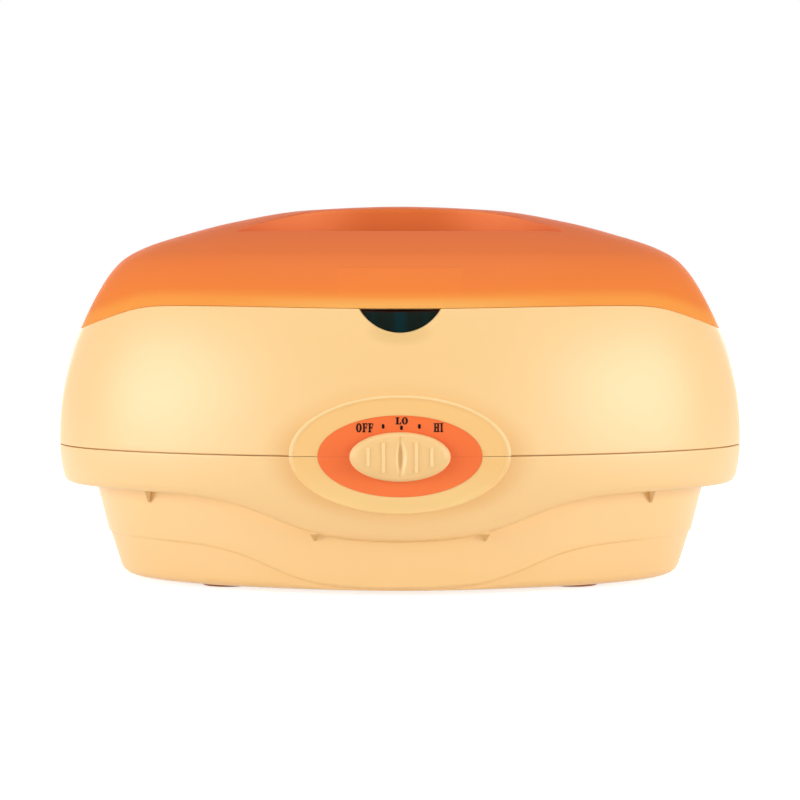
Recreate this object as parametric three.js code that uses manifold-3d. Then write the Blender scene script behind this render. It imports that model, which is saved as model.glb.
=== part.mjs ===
// A paraffin bath that warms wax for hands and feet: an oval housing in two halves round a heated
// aluminium tank, a lift-off lid with a grip bar, a sliding heat control and a window for the lamp.
// Millimetres, +Z up, the front faces -Y, the feet stand on z = 0.

import * as THREE from 'three';
import { mergeVertices } from 'three/addons/utils/BufferGeometryUtils.js';
import Module from 'manifold-3d';

const wasm = await Module();
wasm.setup();

const fullTurn = 2 * Math.PI;
const quarterTurn = Math.PI / 2;

// Fits shared by many pieces
const fitGap = 0.3;
const cutOverrun = 2;
const weldGap = 0.0005;

// How finely round things are cut into flat faces
const planSides = 36;
const tankSides = 28;
const grilleSides = 28;
const ellipseSteps = 16;
const windowSteps = 10;
const roundSides = 12;
const postSides = 8;
const hexSides = 6;

// Housing: the outline at the seam, and how far the skin draws in above and below it
const housingLength = 385;
const housingDepth = 225;
const housingWall = 2.5;
const seamHeight = 75.6;
const seamGap = 0.3;
const planPower = 1.92;
const planEvenShare = 0.13;
const upperDraw = 11.7;
const upperDrawRise = 63;
const upperDrawPower = 2.2;
const lowerDraw = 12.5;
const lowerDrawDrop = 45.6;
const lowerDrawPower = 1.75;
const depthDrawShare = 0.85;
const skinHeightShares = [0.3, 0.55, 0.8, 1, 1.2, 1.42, 1.62, 1.8, 2.05];

// The line where the lid meets the upper housing: it rises from the front and falls at the ends
const lidLineFront = 152.5;
const lidLineRise = 3.7;
const lidLineReach = 120;
const lidLineFallShare = 0.375;
const lidLineEnd = 51.5;
const lidLineEase = 12;
const lidGap = 0.6;

// Upper housing: ledge under the lid, rim inside it, and the deck round the tank
const lidWall = 2.5;
const lidPlay = 1.7;
const rimRise = 11;
const rimLeanShare = 0.5;
const rimWall = 2.5;
const rimRound = 0.9;
const deckDrop = 2.5;
const deckWall = 2.5;
const upperRingShares = [0.3, 0.56, 0.8];

// Lower housing: the band's wavy edge, the wavy step below it, and the tapered base
const bandEdge = { low: 29.6, high: 53.9, turn: 67, ease: 31 };
const stepEdge = { low: 3.6, high: 26, turn: 70.5, ease: 33 };
const bandRound = 1.5;
const bandMiddleShare = 0.45;
const baseEndStep = 34.2;
const baseSideStep = 18.5;
const baseEndDraftShare = 0.25;
const baseSideDraftShare = 0.1;
const stepOut = 2.6;
const stepRise = 2.2;
const bottomRound = 5;
const bottomRoundShare = 0.5;
const bottomBendShare = 0.33;
const tongueRise = 4;
const tongueWall = 1.3;
const tongueRoot = 6;

// Gussets under the band: one pair near the ends, one pair near the middle
const endGusset = { endRoom: 21.3, wide: 3.6, out: 9, down: 9 };
const middleGusset = { x: 45, wide: 2.4, out: 4, down: 5 };

// Lid: the crown above the lid line, in shares of the edge's half length, half depth and height
const lidRise = 56.3;
const lidRowShares = [
  { length: 0.979, depth: 0.968, height: 0.122, follow: 0.8 },
  { length: 0.939, depth: 0.917, height: 0.321, follow: 0.5 },
  { length: 0.901, depth: 0.865, height: 0.47, follow: 0.25 },
  { length: 0.863, depth: 0.814, height: 0.57, follow: 0.1 },
  { length: 0.792, depth: 0.721, height: 0.669, follow: 0 },
  { length: 0.673, depth: 0.592, height: 0.769, follow: 0 },
  { length: 0.528, depth: 0.443, height: 0.868, follow: 0 },
  { length: 0.297, depth: 0.237, height: 0.968, follow: 0 },
];

// Finger recesses in the lid, on both sides of the grip bar, with a floor that eases into the wall
const recessReach = 93;
const recessOuter = 53.5;
const recessEndRoom = 21.5;
const recessDeep = 28.8;
const recessEase = { floor: 6, foot: 2.4, footRise: 1.6, wallRise: 12 };
const recessTipShare = 3;
const recessEndPower = 8;
const recessSteps = 9;
const gripHalfWidth = 19;
const gripFlare = 9;

// Tank, its flange and gasket
const tankEndRoom = 47.5;
const tankSideRoom = 30;
const tankWall = 1.5;
const tankFloor = 68;
const tankDraft = 3;
const tankRound = 8;
const tankBendShare = 0.3;
const flangeWidth = 9.5;
const flangeWall = 1.5;
const gasketWall = 1;
const deckOverlap = 0.5;

// Grille that lies in the tank
const grille = { endRoom: 17, sideRoom: 16.5, wall: 2.5, lift: 4, slot: 12, bar: 7, foot: 4 };
const grilleBorder = { side: 9, end: 20 };

// Tank screws, up through the flange into bosses under the deck
const tankScrew = { shank: 1.3, head: 3.6, headHigh: 1.6, length: 6, boss: 2.3, bossDrop: 3.2 };
const tankScrewAngles = [0, 50, 130, 180, 230, 310];

// Housing screws, up through the band's underside into the upper housing
const baseScrew = { shank: 1.5, head: 3.3, headHigh: 2, bite: 12, boss: 4.8, pocket: 3, inset: 11 };
const baseScrewAngles = [0, 40, 140, 180, 220, 320];
const upperBossHigh = 52.25;

// Bezel, dial plate and their seat, which follow the skin
const controlHeight = 75.8;
const controlDeep = 22;
const bezel = { length: 116, height: 62, proud: 2.4, lift: 0.6 };
const dial = { length: 86, height: 42.8, proud: 1.1, wall: 1.4 };

// Sliding knob: its crown, ribs and lens-shaped groove
const slideTravel = 19;
const knob = { length: 52.5, height: 25.7, thick: 5.5, lift: 0.6 };
const knobSides = 24;
const knobRowShares = [
  { size: 1, out: 0 },
  { size: 1, out: 0.28 },
  { size: 0.965, out: 0.52 },
  { size: 0.87, out: 0.75 },
  { size: 0.68, out: 0.9 },
  { size: 0.38, out: 0.98 },
  { size: 0, out: 1 },
];
const rib = { inner: 8.5, outer: 16.5, innerHigh: 15.8, outerHigh: 9.9, wide: 1.8, proud: 0.6 };
const groove = { wide: 6.7, high: 21.7, deep: 0.8 };
const grooveSteps = 8;

// The knob's neck through the slot, and the carriage behind the wall that its screw holds
const neck = { wide: 8, high: 4.4 };
const carriage = { wide: 18, wall: 2.5, rise: 5.6, drop: 8.9, arm: 3.5, play: 0.8 };
const leg = { wide: 8, deep: 6, clear: 3, pin: 1.5, pinPast: 1.5 };
const carriageScrew = { shank: 1.2, head: 2.6, headHigh: 1.4, length: 9 };

// Thermostat under the tank, its strap and nuts, and the lever that the slider turns
const thermostat = { wallRoom: 37.5, base: 13, baseHigh: 4, body: 10, bodyHigh: 8, neck: 4.5, neckHigh: 3 };
const spindle = { radius: 2.5, bore: 5, past: 0.35 };
const strap = { length: 48, wide: 16, wall: 1.5, stud: 18, eyeWall: 4 };
const stud = { radius: 1.5, length: 9.6 };
const nut = { across: 5.5, high: 2.4 };
const lever = { reach: 50, tip: 6, wide: 9, wall: 2.5, drop: 1.45, hub: 5.5, hubHigh: 4 };
const leverFork = { half: 2.3, back: 6 };
const spindleNut = { across: 7, high: 1.6 };

// Thermal fuse under the tank
const fuse = { x: 46, y: -8, radius: 3, length: 14, clipWall: 1, clipWide: 8, ear: 9 };

// Heater band round the tank
const heater = { lift: 14, high: 25, wall: 2.6 };

// Lamp window, lamp and its tray
const lampWindow = { length: 43, drop: 12.6, straight: 1.2, back: 2.9, recess: 0.5 };
const lamp = { radius: 2.2, length: 16 };
const tray = { length: 22, wall: 1.3, drop: 14, deep: 8.1, high: 5.4 };

// Cord gland at the back, on a flat pad
const gland = { height: 52, pad: 12, padOut: 0.4, flange: 9, flangeHigh: 2.5, tube: 6, bore: 4, inside: 8 };

// Terminal block on the floor at the back
const block = { x: 46, backRoom: 32, length: 34, deep: 15, high: 12, peg: 2, pegHigh: 5, pegApart: 20 };
const terminalScrew = { radius: 2.4, high: 3, apart: 10, sink: 4 };

// Feet and vents in the floor
const foot = { endRoom: 61.3, sideRoom: 53, radius: 12, high: 4, round: 0.9, recess: 1.8 };
const footStem = { radius: 3.4, high: 3.4 };
const vent = { x: 34, length: 44, wide: 3, apart: 9 };
const ventCount = 4;

// Internal leads: their routes are chosen by hand, in shares of the way from start to end
const leadSize = { radius: 1.3, rise: 0.7, endGap: 2, aside: 2, up: 3, heaterX: 86, heaterUp: 8 };
const leadSides = 6;
const leadSteps = 11;
const heaterLeadShares = [
  [0.15, 0.56, 0.083], [0.5, 1.01, 0.222], [0.8, 1.236, 0.389], [0.975, 1.46, 0.583], [1, 1.18, 0.806],
];
const fuseLeadShares = [
  [-0.105, 0.171, 0.179], [0.316, 0.4, 0.448], [1.158, 0.686, 0.673], [1.579, 0.914, 0.852],
];
const thermostatLeadShares = [
  [-0.228, 0.152, 0.204], [-0.32, 0.495, 0.306], [0, 0.819, 0.51], [0.594, 0.962, 0.816],
];

// Colours, roughness and metalness as seen
const finishes = {
  cream: { color: 0xfbd08c, roughness: 0.42, metalness: 0 },
  lid: { color: 0xf07a3c, roughness: 0.22, metalness: 0, transparent: true, opacity: 0.9 },
  dial: { color: 0xfd7f49, roughness: 0.45, metalness: 0 },
  smoked: { color: 0x0b2526, roughness: 0.12, metalness: 0 },
  rubber: { color: 0x4a3226, roughness: 0.85, metalness: 0 },
  aluminium: { color: 0xc9ccce, roughness: 0.35, metalness: 1 },
  steel: { color: 0xb4b6b8, roughness: 0.3, metalness: 1 },
  white: { color: 0xe9e7e0, roughness: 0.5, metalness: 0 },
  black: { color: 0x26262a, roughness: 0.6, metalness: 0 },
  silicone: { color: 0xa24a36, roughness: 0.8, metalness: 0 },
  brass: { color: 0xb58d46, roughness: 0.35, metalness: 1 },
  glow: { color: 0x35c7b4, roughness: 0.2, metalness: 0 },
};

// Sizes and heights that follow from the values above
const baseLength = housingLength - 2 * baseEndStep;
const baseDepth = housingDepth - 2 * baseSideStep;
const tankLength = housingLength - 2 * tankEndRoom;
const tankDepth = housingDepth - 2 * tankSideRoom;
const floorUnder = foot.high - foot.recess + fitGap;
const floorTop = floorUnder + housingWall;
const seamLow = seamHeight - seamGap / 2;
const seamHigh = seamHeight + seamGap / 2;
const rimTop = lidLineFront + rimRise;
const lidTop = lidLineFront + lidRise;
const deckTop = lidLineFront - deckDrop;
const deckUnder = deckTop - deckWall;
const gasketTop = deckUnder - fitGap;
const gasketLow = gasketTop - gasketWall;
const flangeTop = gasketLow - fitGap;
const tankUnder = tankFloor - tankWall;

function mix(from, to, share) {
  return from + (to - from) * share;
}

function roundPower(value) {
  return Math.sign(value) * Math.abs(value) ** (2 / planPower);
}

// Half the depth that an oval of the plan's kind has at a place along its length
function ovalDepth(halfLength, halfDepth, x) {
  return halfDepth * (1 - Math.abs(x / halfLength) ** planPower) ** (1 / planPower);
}

// A place on an oval of the plan's kind, at an angle in degrees
function ovalPlace(halfLength, halfDepth, degrees) {
  const angle = degrees * fullTurn / 360;
  return [roundPower(Math.cos(angle)) * halfLength, roundPower(Math.sin(angle)) * halfDepth];
}

// Closes rings of points into a skin. The ends are capped at their middle, or joined if endless.
function loft(rings, endless = false) {
  const count = rings[0].length;
  const places = [];
  const faces = [];
  rings.forEach((points) => points.forEach((point) => places.push(...point)));
  const bands = endless ? rings.length : rings.length - 1;
  for (let k = 0; k < bands; k += 1) {
    const low = k * count;
    const high = ((k + 1) % rings.length) * count;
    for (let i = 0; i < count; i += 1) {
      const j = (i + 1) % count;
      faces.push(low + i, low + j, high + j, low + i, high + j, high + i);
    }
  }
  if (!endless) {
    const middle = rings.length * count;
    const last = (rings.length - 1) * count;
    [rings[0], rings[rings.length - 1]].forEach((points) => places.push(...middleOf(points)));
    for (let i = 0; i < count; i += 1) {
      const j = (i + 1) % count;
      faces.push(middle, j, i, middle + 1, last + i, last + j);
    }
  }
  const geometry = new THREE.BufferGeometry();
  geometry.setAttribute('position', new THREE.Float32BufferAttribute(places, 3));
  geometry.setIndex(faces);
  return geometry;
}

function middleOf(points) {
  const sum = [0, 1, 2].map((axis) => points.reduce((total, point) => total + point[axis], 0));
  return sum.map((total) => total / points.length);
}

// An oval ring. placeAt(along) gives [half length, half depth, height] at one point of it.
function oval(placeAt, sides = planSides) {
  const points = [];
  for (let i = 0; i < sides; i += 1) {
    const turn = (i / sides) * fullTurn;
    const angle = turn + planEvenShare * Math.sin(2 * turn);
    const along = roundPower(Math.cos(angle));
    const across = roundPower(Math.sin(angle));
    const [halfLength, halfDepth, height] = placeAt(along);
    points.push([along * halfLength, across * halfDepth, height]);
  }
  return points;
}

function flatOval(halfLength, halfDepth, height, sides = planSides) {
  return oval(() => [halfLength, halfDepth, height], sides);
}

// The oval that a plan, given by height, has at a height that changes along the length
function wavyOval(planAt, heightAt) {
  return oval((along) => {
    const first = heightAt(along * housingLength / 2);
    const height = heightAt(along * planAt(first)[0]);
    return [...planAt(height), height];
  });
}

// A closed solid for joining and cutting, with shared corners and no empty triangles
function solidOf(geometry) {
  const bare = geometry.clone();
  bare.deleteAttribute('normal');
  bare.deleteAttribute('uv');
  const merged = mergeVertices(bare, weldGap);
  const corners = Array.from(merged.index.array);
  const kept = [];
  for (let i = 0; i < corners.length; i += 3) {
    const [a, b, c] = corners.slice(i, i + 3);
    if (a !== b && b !== c && c !== a) kept.push(a, b, c);
  }
  return new wasm.Manifold(new wasm.Mesh({
    numProp: 3,
    vertProperties: merged.attributes.position.array,
    triVerts: new Uint32Array(kept),
  }));
}

function piece(name, solid, finish) {
  const mesh = solid.getMesh();
  const geometry = new THREE.BufferGeometry();
  geometry.setAttribute('position', new THREE.BufferAttribute(new Float32Array(mesh.vertProperties), 3));
  geometry.setIndex(new THREE.BufferAttribute(new Uint32Array(mesh.triVerts), 1));
  geometry.computeVertexNormals();
  const result = new THREE.Mesh(geometry, new THREE.MeshStandardMaterial(finish));
  result.name = name;
  return result;
}

function join(solids) {
  return solids.reduce((whole, next) => whole.add(next));
}

function cut(solid, cutters) {
  return cutters.reduce((left, next) => left.subtract(next), solid);
}

// An upright round post
function post(radius, x, y, low, high, sides = postSides) {
  const geometry = new THREE.CylinderGeometry(radius, radius, high - low, sides);
  geometry.rotateX(quarterTurn);
  geometry.translate(x, y, (low + high) / 2);
  return solidOf(geometry);
}

// A round post along the depth
function depthPost(radius, height, from, to, sides = postSides) {
  const geometry = new THREE.CylinderGeometry(radius, radius, to - from, sides);
  geometry.translate(0, (from + to) / 2, height);
  return solidOf(geometry);
}

function slab(x, y, z) {
  const geometry = new THREE.BoxGeometry(x[1] - x[0], y[1] - y[0], z[1] - z[0]);
  geometry.translate((x[0] + x[1]) / 2, (y[0] + y[1]) / 2, (z[0] + z[1]) / 2);
  return solidOf(geometry);
}

// The span of a width about its middle
function span(middle, width) {
  return [middle - width / 2, middle + width / 2];
}

// A turned solid on an upright axis, from a profile of [radius, height] that rises along its outside
function turned(profile, x, y, sides = postSides) {
  const points = profile.map(([radius, height]) => new THREE.Vector2(radius, height));
  const geometry = new THREE.LatheGeometry(points, sides);
  geometry.rotateX(quarterTurn);
  geometry.translate(x, y, 0);
  return solidOf(geometry);
}

// A turned solid on an axis along the depth, from a profile of [radius, place along the depth]
function turnedInDepth(profile, height, sides = postSides) {
  const points = profile.map(([radius, y]) => new THREE.Vector2(radius, y));
  const geometry = new THREE.LatheGeometry(points, sides);
  geometry.translate(0, 0, height);
  return solidOf(geometry);
}

// A shape drawn in x and height, given thickness along the depth from the front face backwards
function frontPrism(shape, front, back, curveSegments = ellipseSteps) {
  const options = { depth: back - front, bevelEnabled: false, curveSegments };
  const geometry = new THREE.ExtrudeGeometry(shape, options);
  geometry.rotateX(quarterTurn);
  geometry.translate(0, back, 0);
  return solidOf(geometry);
}

// A shape drawn in depth and height, given thickness along the length about a place on it
function sidePrism(shape, x, wide) {
  const options = { depth: wide, bevelEnabled: false, curveSegments: postSides };
  const geometry = new THREE.ExtrudeGeometry(shape, options);
  geometry.rotateX(quarterTurn);
  geometry.rotateZ(quarterTurn);
  geometry.translate(x - wide / 2, 0, 0);
  return geometry;
}

function ellipseShape(length, height, middle) {
  return new THREE.Shape().absellipse(0, middle, length / 2, height / 2, 0, fullTurn);
}

function cornerShape(corners) {
  return new THREE.Shape(corners.map(([x, y]) => new THREE.Vector2(x, y)));
}

// Half length and half depth of the housing's skin at a height, drawn in by an inset
function skin(height, inset = 0) {
  const rise = height - seamHeight;
  const draw = rise > 0
    ? upperDraw * (rise / upperDrawRise) ** upperDrawPower
    : lowerDraw * (-rise / lowerDrawDrop) ** lowerDrawPower;
  return [housingLength / 2 - draw - inset, housingDepth / 2 - draw * depthDrawShare - inset];
}

// A full block inside the skin, used to cut and trim what follows the skin
function skinBlock(inset) {
  return solidOf(loft(skinHeightShares.map((share) => {
    const height = seamHeight * share;
    return flatOval(...skin(height, inset), height);
  })));
}

function waveHeight(edge, x) {
  const middle = (edge.low + edge.high) / 2;
  const swing = (edge.high - edge.low) / 2 / Math.tanh(edge.turn / edge.ease);
  return middle + swing * Math.tanh((Math.abs(x) - edge.turn) / edge.ease);
}

function lidLine(x) {
  const reach = (x / lidLineReach) ** 2;
  const past = Math.abs(x) - (housingLength / 2 - lidLineEnd);
  const fall = (Math.hypot(past, lidLineEase) + past) / 2;
  return lidLineFront + lidLineRise * reach / (1 + reach) - lidLineFallShare * fall;
}

// Height of the lid line at a share of the way along the skin, and of the ledge under it
function lineHeight(along) {
  const first = lidLine(along * housingLength / 2);
  return lidLine(along * skin(first)[0]);
}

function ledgeHeight(along) {
  return lineHeight(along) - lidGap / 2;
}

// Half length and half depth of the tapered base at a height
function basePlan(height, inset = 0) {
  return [
    baseLength / 2 + baseEndDraftShare * height - inset,
    baseDepth / 2 + baseSideDraftShare * height - inset,
  ];
}

// The rim inside the lid leans in as it rises from the ledge
function rimPlan(along, height, inset) {
  const ledge = ledgeHeight(along);
  const lean = (height - ledge) * rimLeanShare;
  return [...skin(ledge, lidWall + lidPlay + lean + inset), height];
}

// The rim's inner face meets the deck, or its own foot where the ledge lies above the deck
function rimFoot(along) {
  const [halfLength, halfDepth] = rimPlan(along, Math.max(ledgeHeight(along), deckTop), rimWall);
  return [halfLength, halfDepth, deckTop];
}

function upperShell() {
  const outer = (z) => skin(z);
  const inner = (z) => skin(z, housingWall);
  const riseTo = (share) => (x) => mix(seamHigh, lidLine(x) - lidGap / 2, share);
  const underDeck = (x) => Math.min(deckUnder, lidLine(x) - lidGap / 2 - housingWall);
  const hole = [tankLength / 2 + deckOverlap, tankDepth / 2 + deckOverlap];
  const seat = hole.map((half) => half + flangeWidth + 2 * fitGap);
  const innerShares = [...upperRingShares].reverse().slice(1);
  const rings = [
    ...[0, ...upperRingShares, 1].map((share) => wavyOval(outer, riseTo(share))),
    oval((along) => rimPlan(along, ledgeHeight(along), 0)),
    oval((along) => rimPlan(along, rimTop - rimRound, 0)),
    oval((along) => rimPlan(along, rimTop, rimRound)),
    oval((along) => rimPlan(along, rimTop, rimWall - rimRound / 2)),
    oval((along) => rimPlan(along, rimTop - rimRound, rimWall)),
    oval(rimFoot),
    flatOval(...hole, deckTop),
    flatOval(...hole, deckUnder),
    flatOval(...seat, deckUnder),
    wavyOval(inner, underDeck),
    ...[...innerShares, 0].map((share) => wavyOval(inner, riseTo(share))),
  ];
  return solidOf(loft(rings, true));
}

function lowerShell() {
  const band = (x) => waveHeight(bandEdge, x);
  const bandMiddle = (x) => mix(band(x) + bandRound, seamLow, bandMiddleShare);
  const step = (x) => floorUnder + waveHeight(stepEdge, x) - stepEdge.low + stepRise / 2;
  const roundRise = (x) => Math.min(bottomRound, (step(x) - floorUnder) * bottomRoundShare);
  const innerStep = (x) => Math.max(step(x) + stepRise, floorTop + housingWall);
  const outer = (inset) => (z) => skin(z, inset);
  const base = (inset) => (z) => basePlan(z, inset);
  const tongue = housingWall + fitGap;
  const bend = bottomRound * bottomBendShare;
  const rings = [
    wavyOval(base(stepOut + bottomRound), () => floorUnder),
    wavyOval(base(stepOut + bend), (x) => floorUnder + roundRise(x) * bottomBendShare),
    wavyOval(base(stepOut), (x) => floorUnder + roundRise(x)),
    wavyOval(base(stepOut), step),
    wavyOval(base(0), (x) => step(x) + stepRise),
    wavyOval(base(0), band),
    wavyOval(outer(bandRound), band),
    wavyOval(outer(0), (x) => band(x) + bandRound),
    wavyOval(outer(0), bandMiddle),
    wavyOval(outer(0), () => seamLow),
    wavyOval(outer(tongue), () => seamLow),
    wavyOval(outer(tongue), () => seamHeight + tongueRise),
    wavyOval(outer(tongue + tongueWall), () => seamHeight + tongueRise),
    wavyOval(outer(tongue + tongueWall), () => seamHeight - tongueRoot),
    wavyOval(outer(housingWall), () => seamHeight - tongueRoot - tongueWall),
    wavyOval(outer(housingWall), bandMiddle),
    wavyOval(outer(housingWall + bandRound), (x) => band(x) + housingWall),
    wavyOval(base(housingWall), (x) => band(x) + housingWall),
    wavyOval(base(stepOut + housingWall), innerStep),
    wavyOval(base(stepOut + housingWall + bottomRound), () => floorTop),
  ];
  return solidOf(loft(rings));
}

const baseScrewPlaces = baseScrewAngles.map((degrees) => (
  ovalPlace(...skin(seamHeight, baseScrew.inset), degrees)
));

// The tank screws stand midway between the tank's wall and its flange's edge
const tankScrewOut = (tankWall + flangeWidth) / 2;
const tankScrewPlaces = tankScrewAngles.map((degrees) => (
  ovalPlace(tankLength / 2 + tankScrewOut, tankDepth / 2 + tankScrewOut, degrees)
));

const controlFront = -housingDepth / 2 - bezel.proud - cutOverrun;
const controlBack = -housingDepth / 2 + controlDeep;

// The control slot through the bezel, the dial plate and the tongue
function controlSlot() {
  const [left, right] = span(0, 2 * slideTravel + neck.wide + 4 * fitGap);
  const [low, high] = span(controlHeight, neck.high + 2 * fitGap);
  const shape = cornerShape([[left, low], [right, low], [right, high], [left, high]]);
  return frontPrism(shape, controlFront, controlBack);
}

function bezelRing() {
  const outline = ellipseShape(bezel.length, bezel.height, controlHeight + bezel.lift);
  const block = frontPrism(outline, controlFront, controlBack);
  return block.intersect(skinBlock(-bezel.proud)).subtract(skinBlock(housingWall));
}

function dialPocket() {
  const outline = ellipseShape(dial.length, dial.height, controlHeight);
  const pocket = frontPrism(outline, controlFront, controlBack);
  return pocket.subtract(skinBlock(dial.wall + fitGap - dial.proud));
}

// The half of a solid above the seam's gap, or below it
function halfOf(solid, above) {
  const reach = housingLength + cutOverrun;
  const height = above ? [seamHigh, seamHigh + reach] : [seamLow - reach, seamLow];
  return solid.intersect(slab([-reach, reach], [-reach, reach], height));
}

function windowShape(inset, top) {
  const half = lampWindow.length / 2 - inset;
  const drop = lampWindow.drop - lampWindow.straight - inset;
  const shape = new THREE.Shape();
  shape.moveTo(half, top);
  shape.lineTo(-half, top);
  shape.lineTo(-half, lidLineFront - lampWindow.straight);
  shape.absellipse(0, lidLineFront - lampWindow.straight, half, drop, Math.PI, fullTurn);
  return shape;
}

const windowBack = -skin(lidLineFront)[1] + lidWall + lidPlay - fitGap;

function windowNotch() {
  const outline = windowShape(0, lidLineFront + cutOverrun);
  return frontPrism(outline, controlFront, windowBack, windowSteps);
}

function lampWindowPlate() {
  const outline = windowShape(fitGap, lidLineFront - lidGap / 2 - fitGap / 2);
  const plate = frontPrism(outline, controlFront, windowBack - fitGap, windowSteps);
  return plate.intersect(skinBlock(lampWindow.recess)).subtract(skinBlock(lampWindow.back));
}

function upperHousing() {
  const bosses = baseScrewPlaces.map(([x, y]) => (
    post(baseScrew.boss, x, y, seamHigh, seamHigh + upperBossHigh)
  ));
  const pilots = baseScrewPlaces.map(([x, y]) => (
    post(baseScrew.shank + fitGap, x, y, seamHigh - cutOverrun, seamHigh + baseScrew.bite + fitGap)
  ));
  const screwRoot = deckUnder + deckWall / 2;
  const tankBosses = tankScrewPlaces.map(([x, y]) => (
    post(tankScrew.boss, x, y, deckUnder - tankScrew.bossDrop, screwRoot)
  ));
  const tankPilots = tankScrewPlaces.map(([x, y]) => (
    post(tankScrew.shank + fitGap, x, y, deckUnder - 2 * tankScrew.bossDrop, screwRoot)
  ));
  const innerBosses = join(bosses).intersect(skinBlock(housingWall / 2));
  const whole = join([upperShell(), innerBosses, halfOf(bezelRing(), true), ...tankBosses]);
  return cut(whole, [...pilots, ...tankPilots, dialPocket(), controlSlot(), windowNotch()]);
}

// A triangular rib that runs out of the base's wall and holds up the band's underside
function gusset({ x, wide, out, down }, side, front) {
  const edge = waveHeight(bandEdge, x);
  const wall = ovalDepth(...basePlan(edge), x);
  const root = housingWall / 2;
  const shape = cornerShape([
    [wall - root, edge + root], [wall - root, edge - down], [wall + out, edge], [wall + out, edge + root],
  ]);
  const geometry = sidePrism(shape, 0, wide);
  if (front) geometry.rotateZ(Math.PI);
  geometry.translate(side * x, 0, 0);
  return solidOf(geometry);
}

function gussets() {
  const kinds = [{ ...endGusset, x: baseLength / 2 - endGusset.endRoom }, middleGusset];
  return kinds.flatMap((kind) => [-1, 1].flatMap((side) => (
    [true, false].map((front) => gusset(kind, side, front))
  )));
}

// The gland's flat pad stands out past the skin at the pad's upper edge
const glandFace = skin(gland.height + gland.pad)[1] + gland.padOut;
const blockY = baseDepth / 2 - block.backRoom;
const pegPlaces = [-1, 1].map((side) => [block.x + side * block.pegApart / 2, blockY]);
const footX = baseLength / 2 - foot.endRoom;
const footY = baseDepth / 2 - foot.sideRoom;
const footPlaces = [[-footX, -footY], [footX, -footY], [footX, footY], [-footX, footY]];

function ventSlots() {
  const slots = [];
  for (let k = 0; k < ventCount; k += 1) {
    const y = span((k - (ventCount - 1) / 2) * vent.apart, vent.wide);
    [-vent.x, vent.x].forEach((x) => {
      slots.push(slab(span(x, vent.length), y, [floorUnder - cutOverrun, floorTop + cutOverrun]));
    });
  }
  return slots;
}

function lowerHousing() {
  const bosses = [];
  const holes = ventSlots();
  baseScrewPlaces.forEach(([x, y]) => {
    const edge = waveHeight(bandEdge, x);
    bosses.push(post(baseScrew.boss, x, y, edge + housingWall / 2, seamLow));
    holes.push(post(baseScrew.shank + fitGap, x, y, edge - cutOverrun, seamLow + cutOverrun));
    holes.push(post(baseScrew.head + fitGap, x, y, edge - cutOverrun, edge + baseScrew.pocket));
  });
  footPlaces.forEach(([x, y]) => {
    const recessTop = floorUnder + foot.recess;
    holes.push(post(foot.radius + fitGap, x, y, floorUnder - cutOverrun, recessTop, roundSides));
    holes.push(post(footStem.radius + fitGap, x, y, floorUnder, floorTop + cutOverrun));
  });
  const padBack = skin(gland.height, housingWall)[1] - cutOverrun;
  const pad = depthPost(gland.pad, gland.height, padBack, glandFace, roundSides);
  const holeReach = [padBack - cutOverrun, glandFace + cutOverrun];
  const glandHole = depthPost(gland.tube + fitGap, gland.height, ...holeReach, roundSides);
  const pegs = pegPlaces.map(([x, y]) => (
    post(block.peg, x, y, floorTop - housingWall / 2, floorTop + block.pegHigh)
  ));
  const whole = join([lowerShell(), halfOf(bezelRing(), false), pad, ...gussets(), ...bosses, ...pegs]);
  return cut(whole, [...holes, glandHole, dialPocket(), controlSlot()]);
}

function dialPlate() {
  const outline = ellipseShape(dial.length - 2 * fitGap, dial.height - 2 * fitGap, controlHeight);
  const plate = frontPrism(outline, controlFront, controlBack).intersect(skinBlock(-dial.proud));
  return cut(plate, [skinBlock(dial.wall - dial.proud), controlSlot()]);
}

// One face of the lid from its edge towards the crown, drawn in by a wall for the inner face
function lidRows(wall) {
  const [halfLength] = skin(lidLine(housingLength / 2 - upperDraw));
  const [, halfDepth] = skin(lidLineFront);
  const edgeHeight = lidLine(halfLength);
  const crown = lidTop - edgeHeight;
  const edgeRow = oval((along) => [...skin(lineHeight(along), wall), lineHeight(along) + lidGap / 2]);
  const profile = lidRowShares.map((row) => [row.length * halfLength, edgeHeight + row.height * crown]);
  const ends = [[halfLength, edgeHeight], ...profile, [0, lidTop]];
  const rows = lidRowShares.map((row, k) => {
    const run = ends[k + 2][0] - ends[k][0];
    const rise = ends[k + 2][1] - ends[k][1];
    const slant = Math.hypot(run, rise);
    return oval((along) => {
      const line = lineHeight(along);
      const [lineLength, lineDepth] = skin(line);
      return [
        row.length * mix(halfLength, lineLength, row.follow) - wall * rise / slant,
        row.depth * mix(halfDepth, lineDepth, row.follow) - wall * rise / slant,
        profile[k][1] + wall * run / slant + (line - edgeHeight) * row.follow,
      ];
    });
  });
  return [edgeRow, ...rows];
}

function lidCrown(rows, top) {
  return rows[rows.length - 1].map(([x, y]) => [x * weldGap, y * weldGap, top]);
}

function lidOuter() {
  const rows = lidRows(0);
  return solidOf(loft([...rows, lidCrown(rows, lidTop)]));
}

// The hollow runs out below the lid's edge, and has half as many rows as the outside
function lidInner() {
  const rows = lidRows(lidWall).filter((row, k) => k % 2 === 0);
  const skirt = rows[0].map(([x, y, z]) => [x, y, z - cutOverrun]);
  return solidOf(loft([skirt, ...rows, lidCrown(rows, lidTop - lidWall)]));
}

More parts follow.
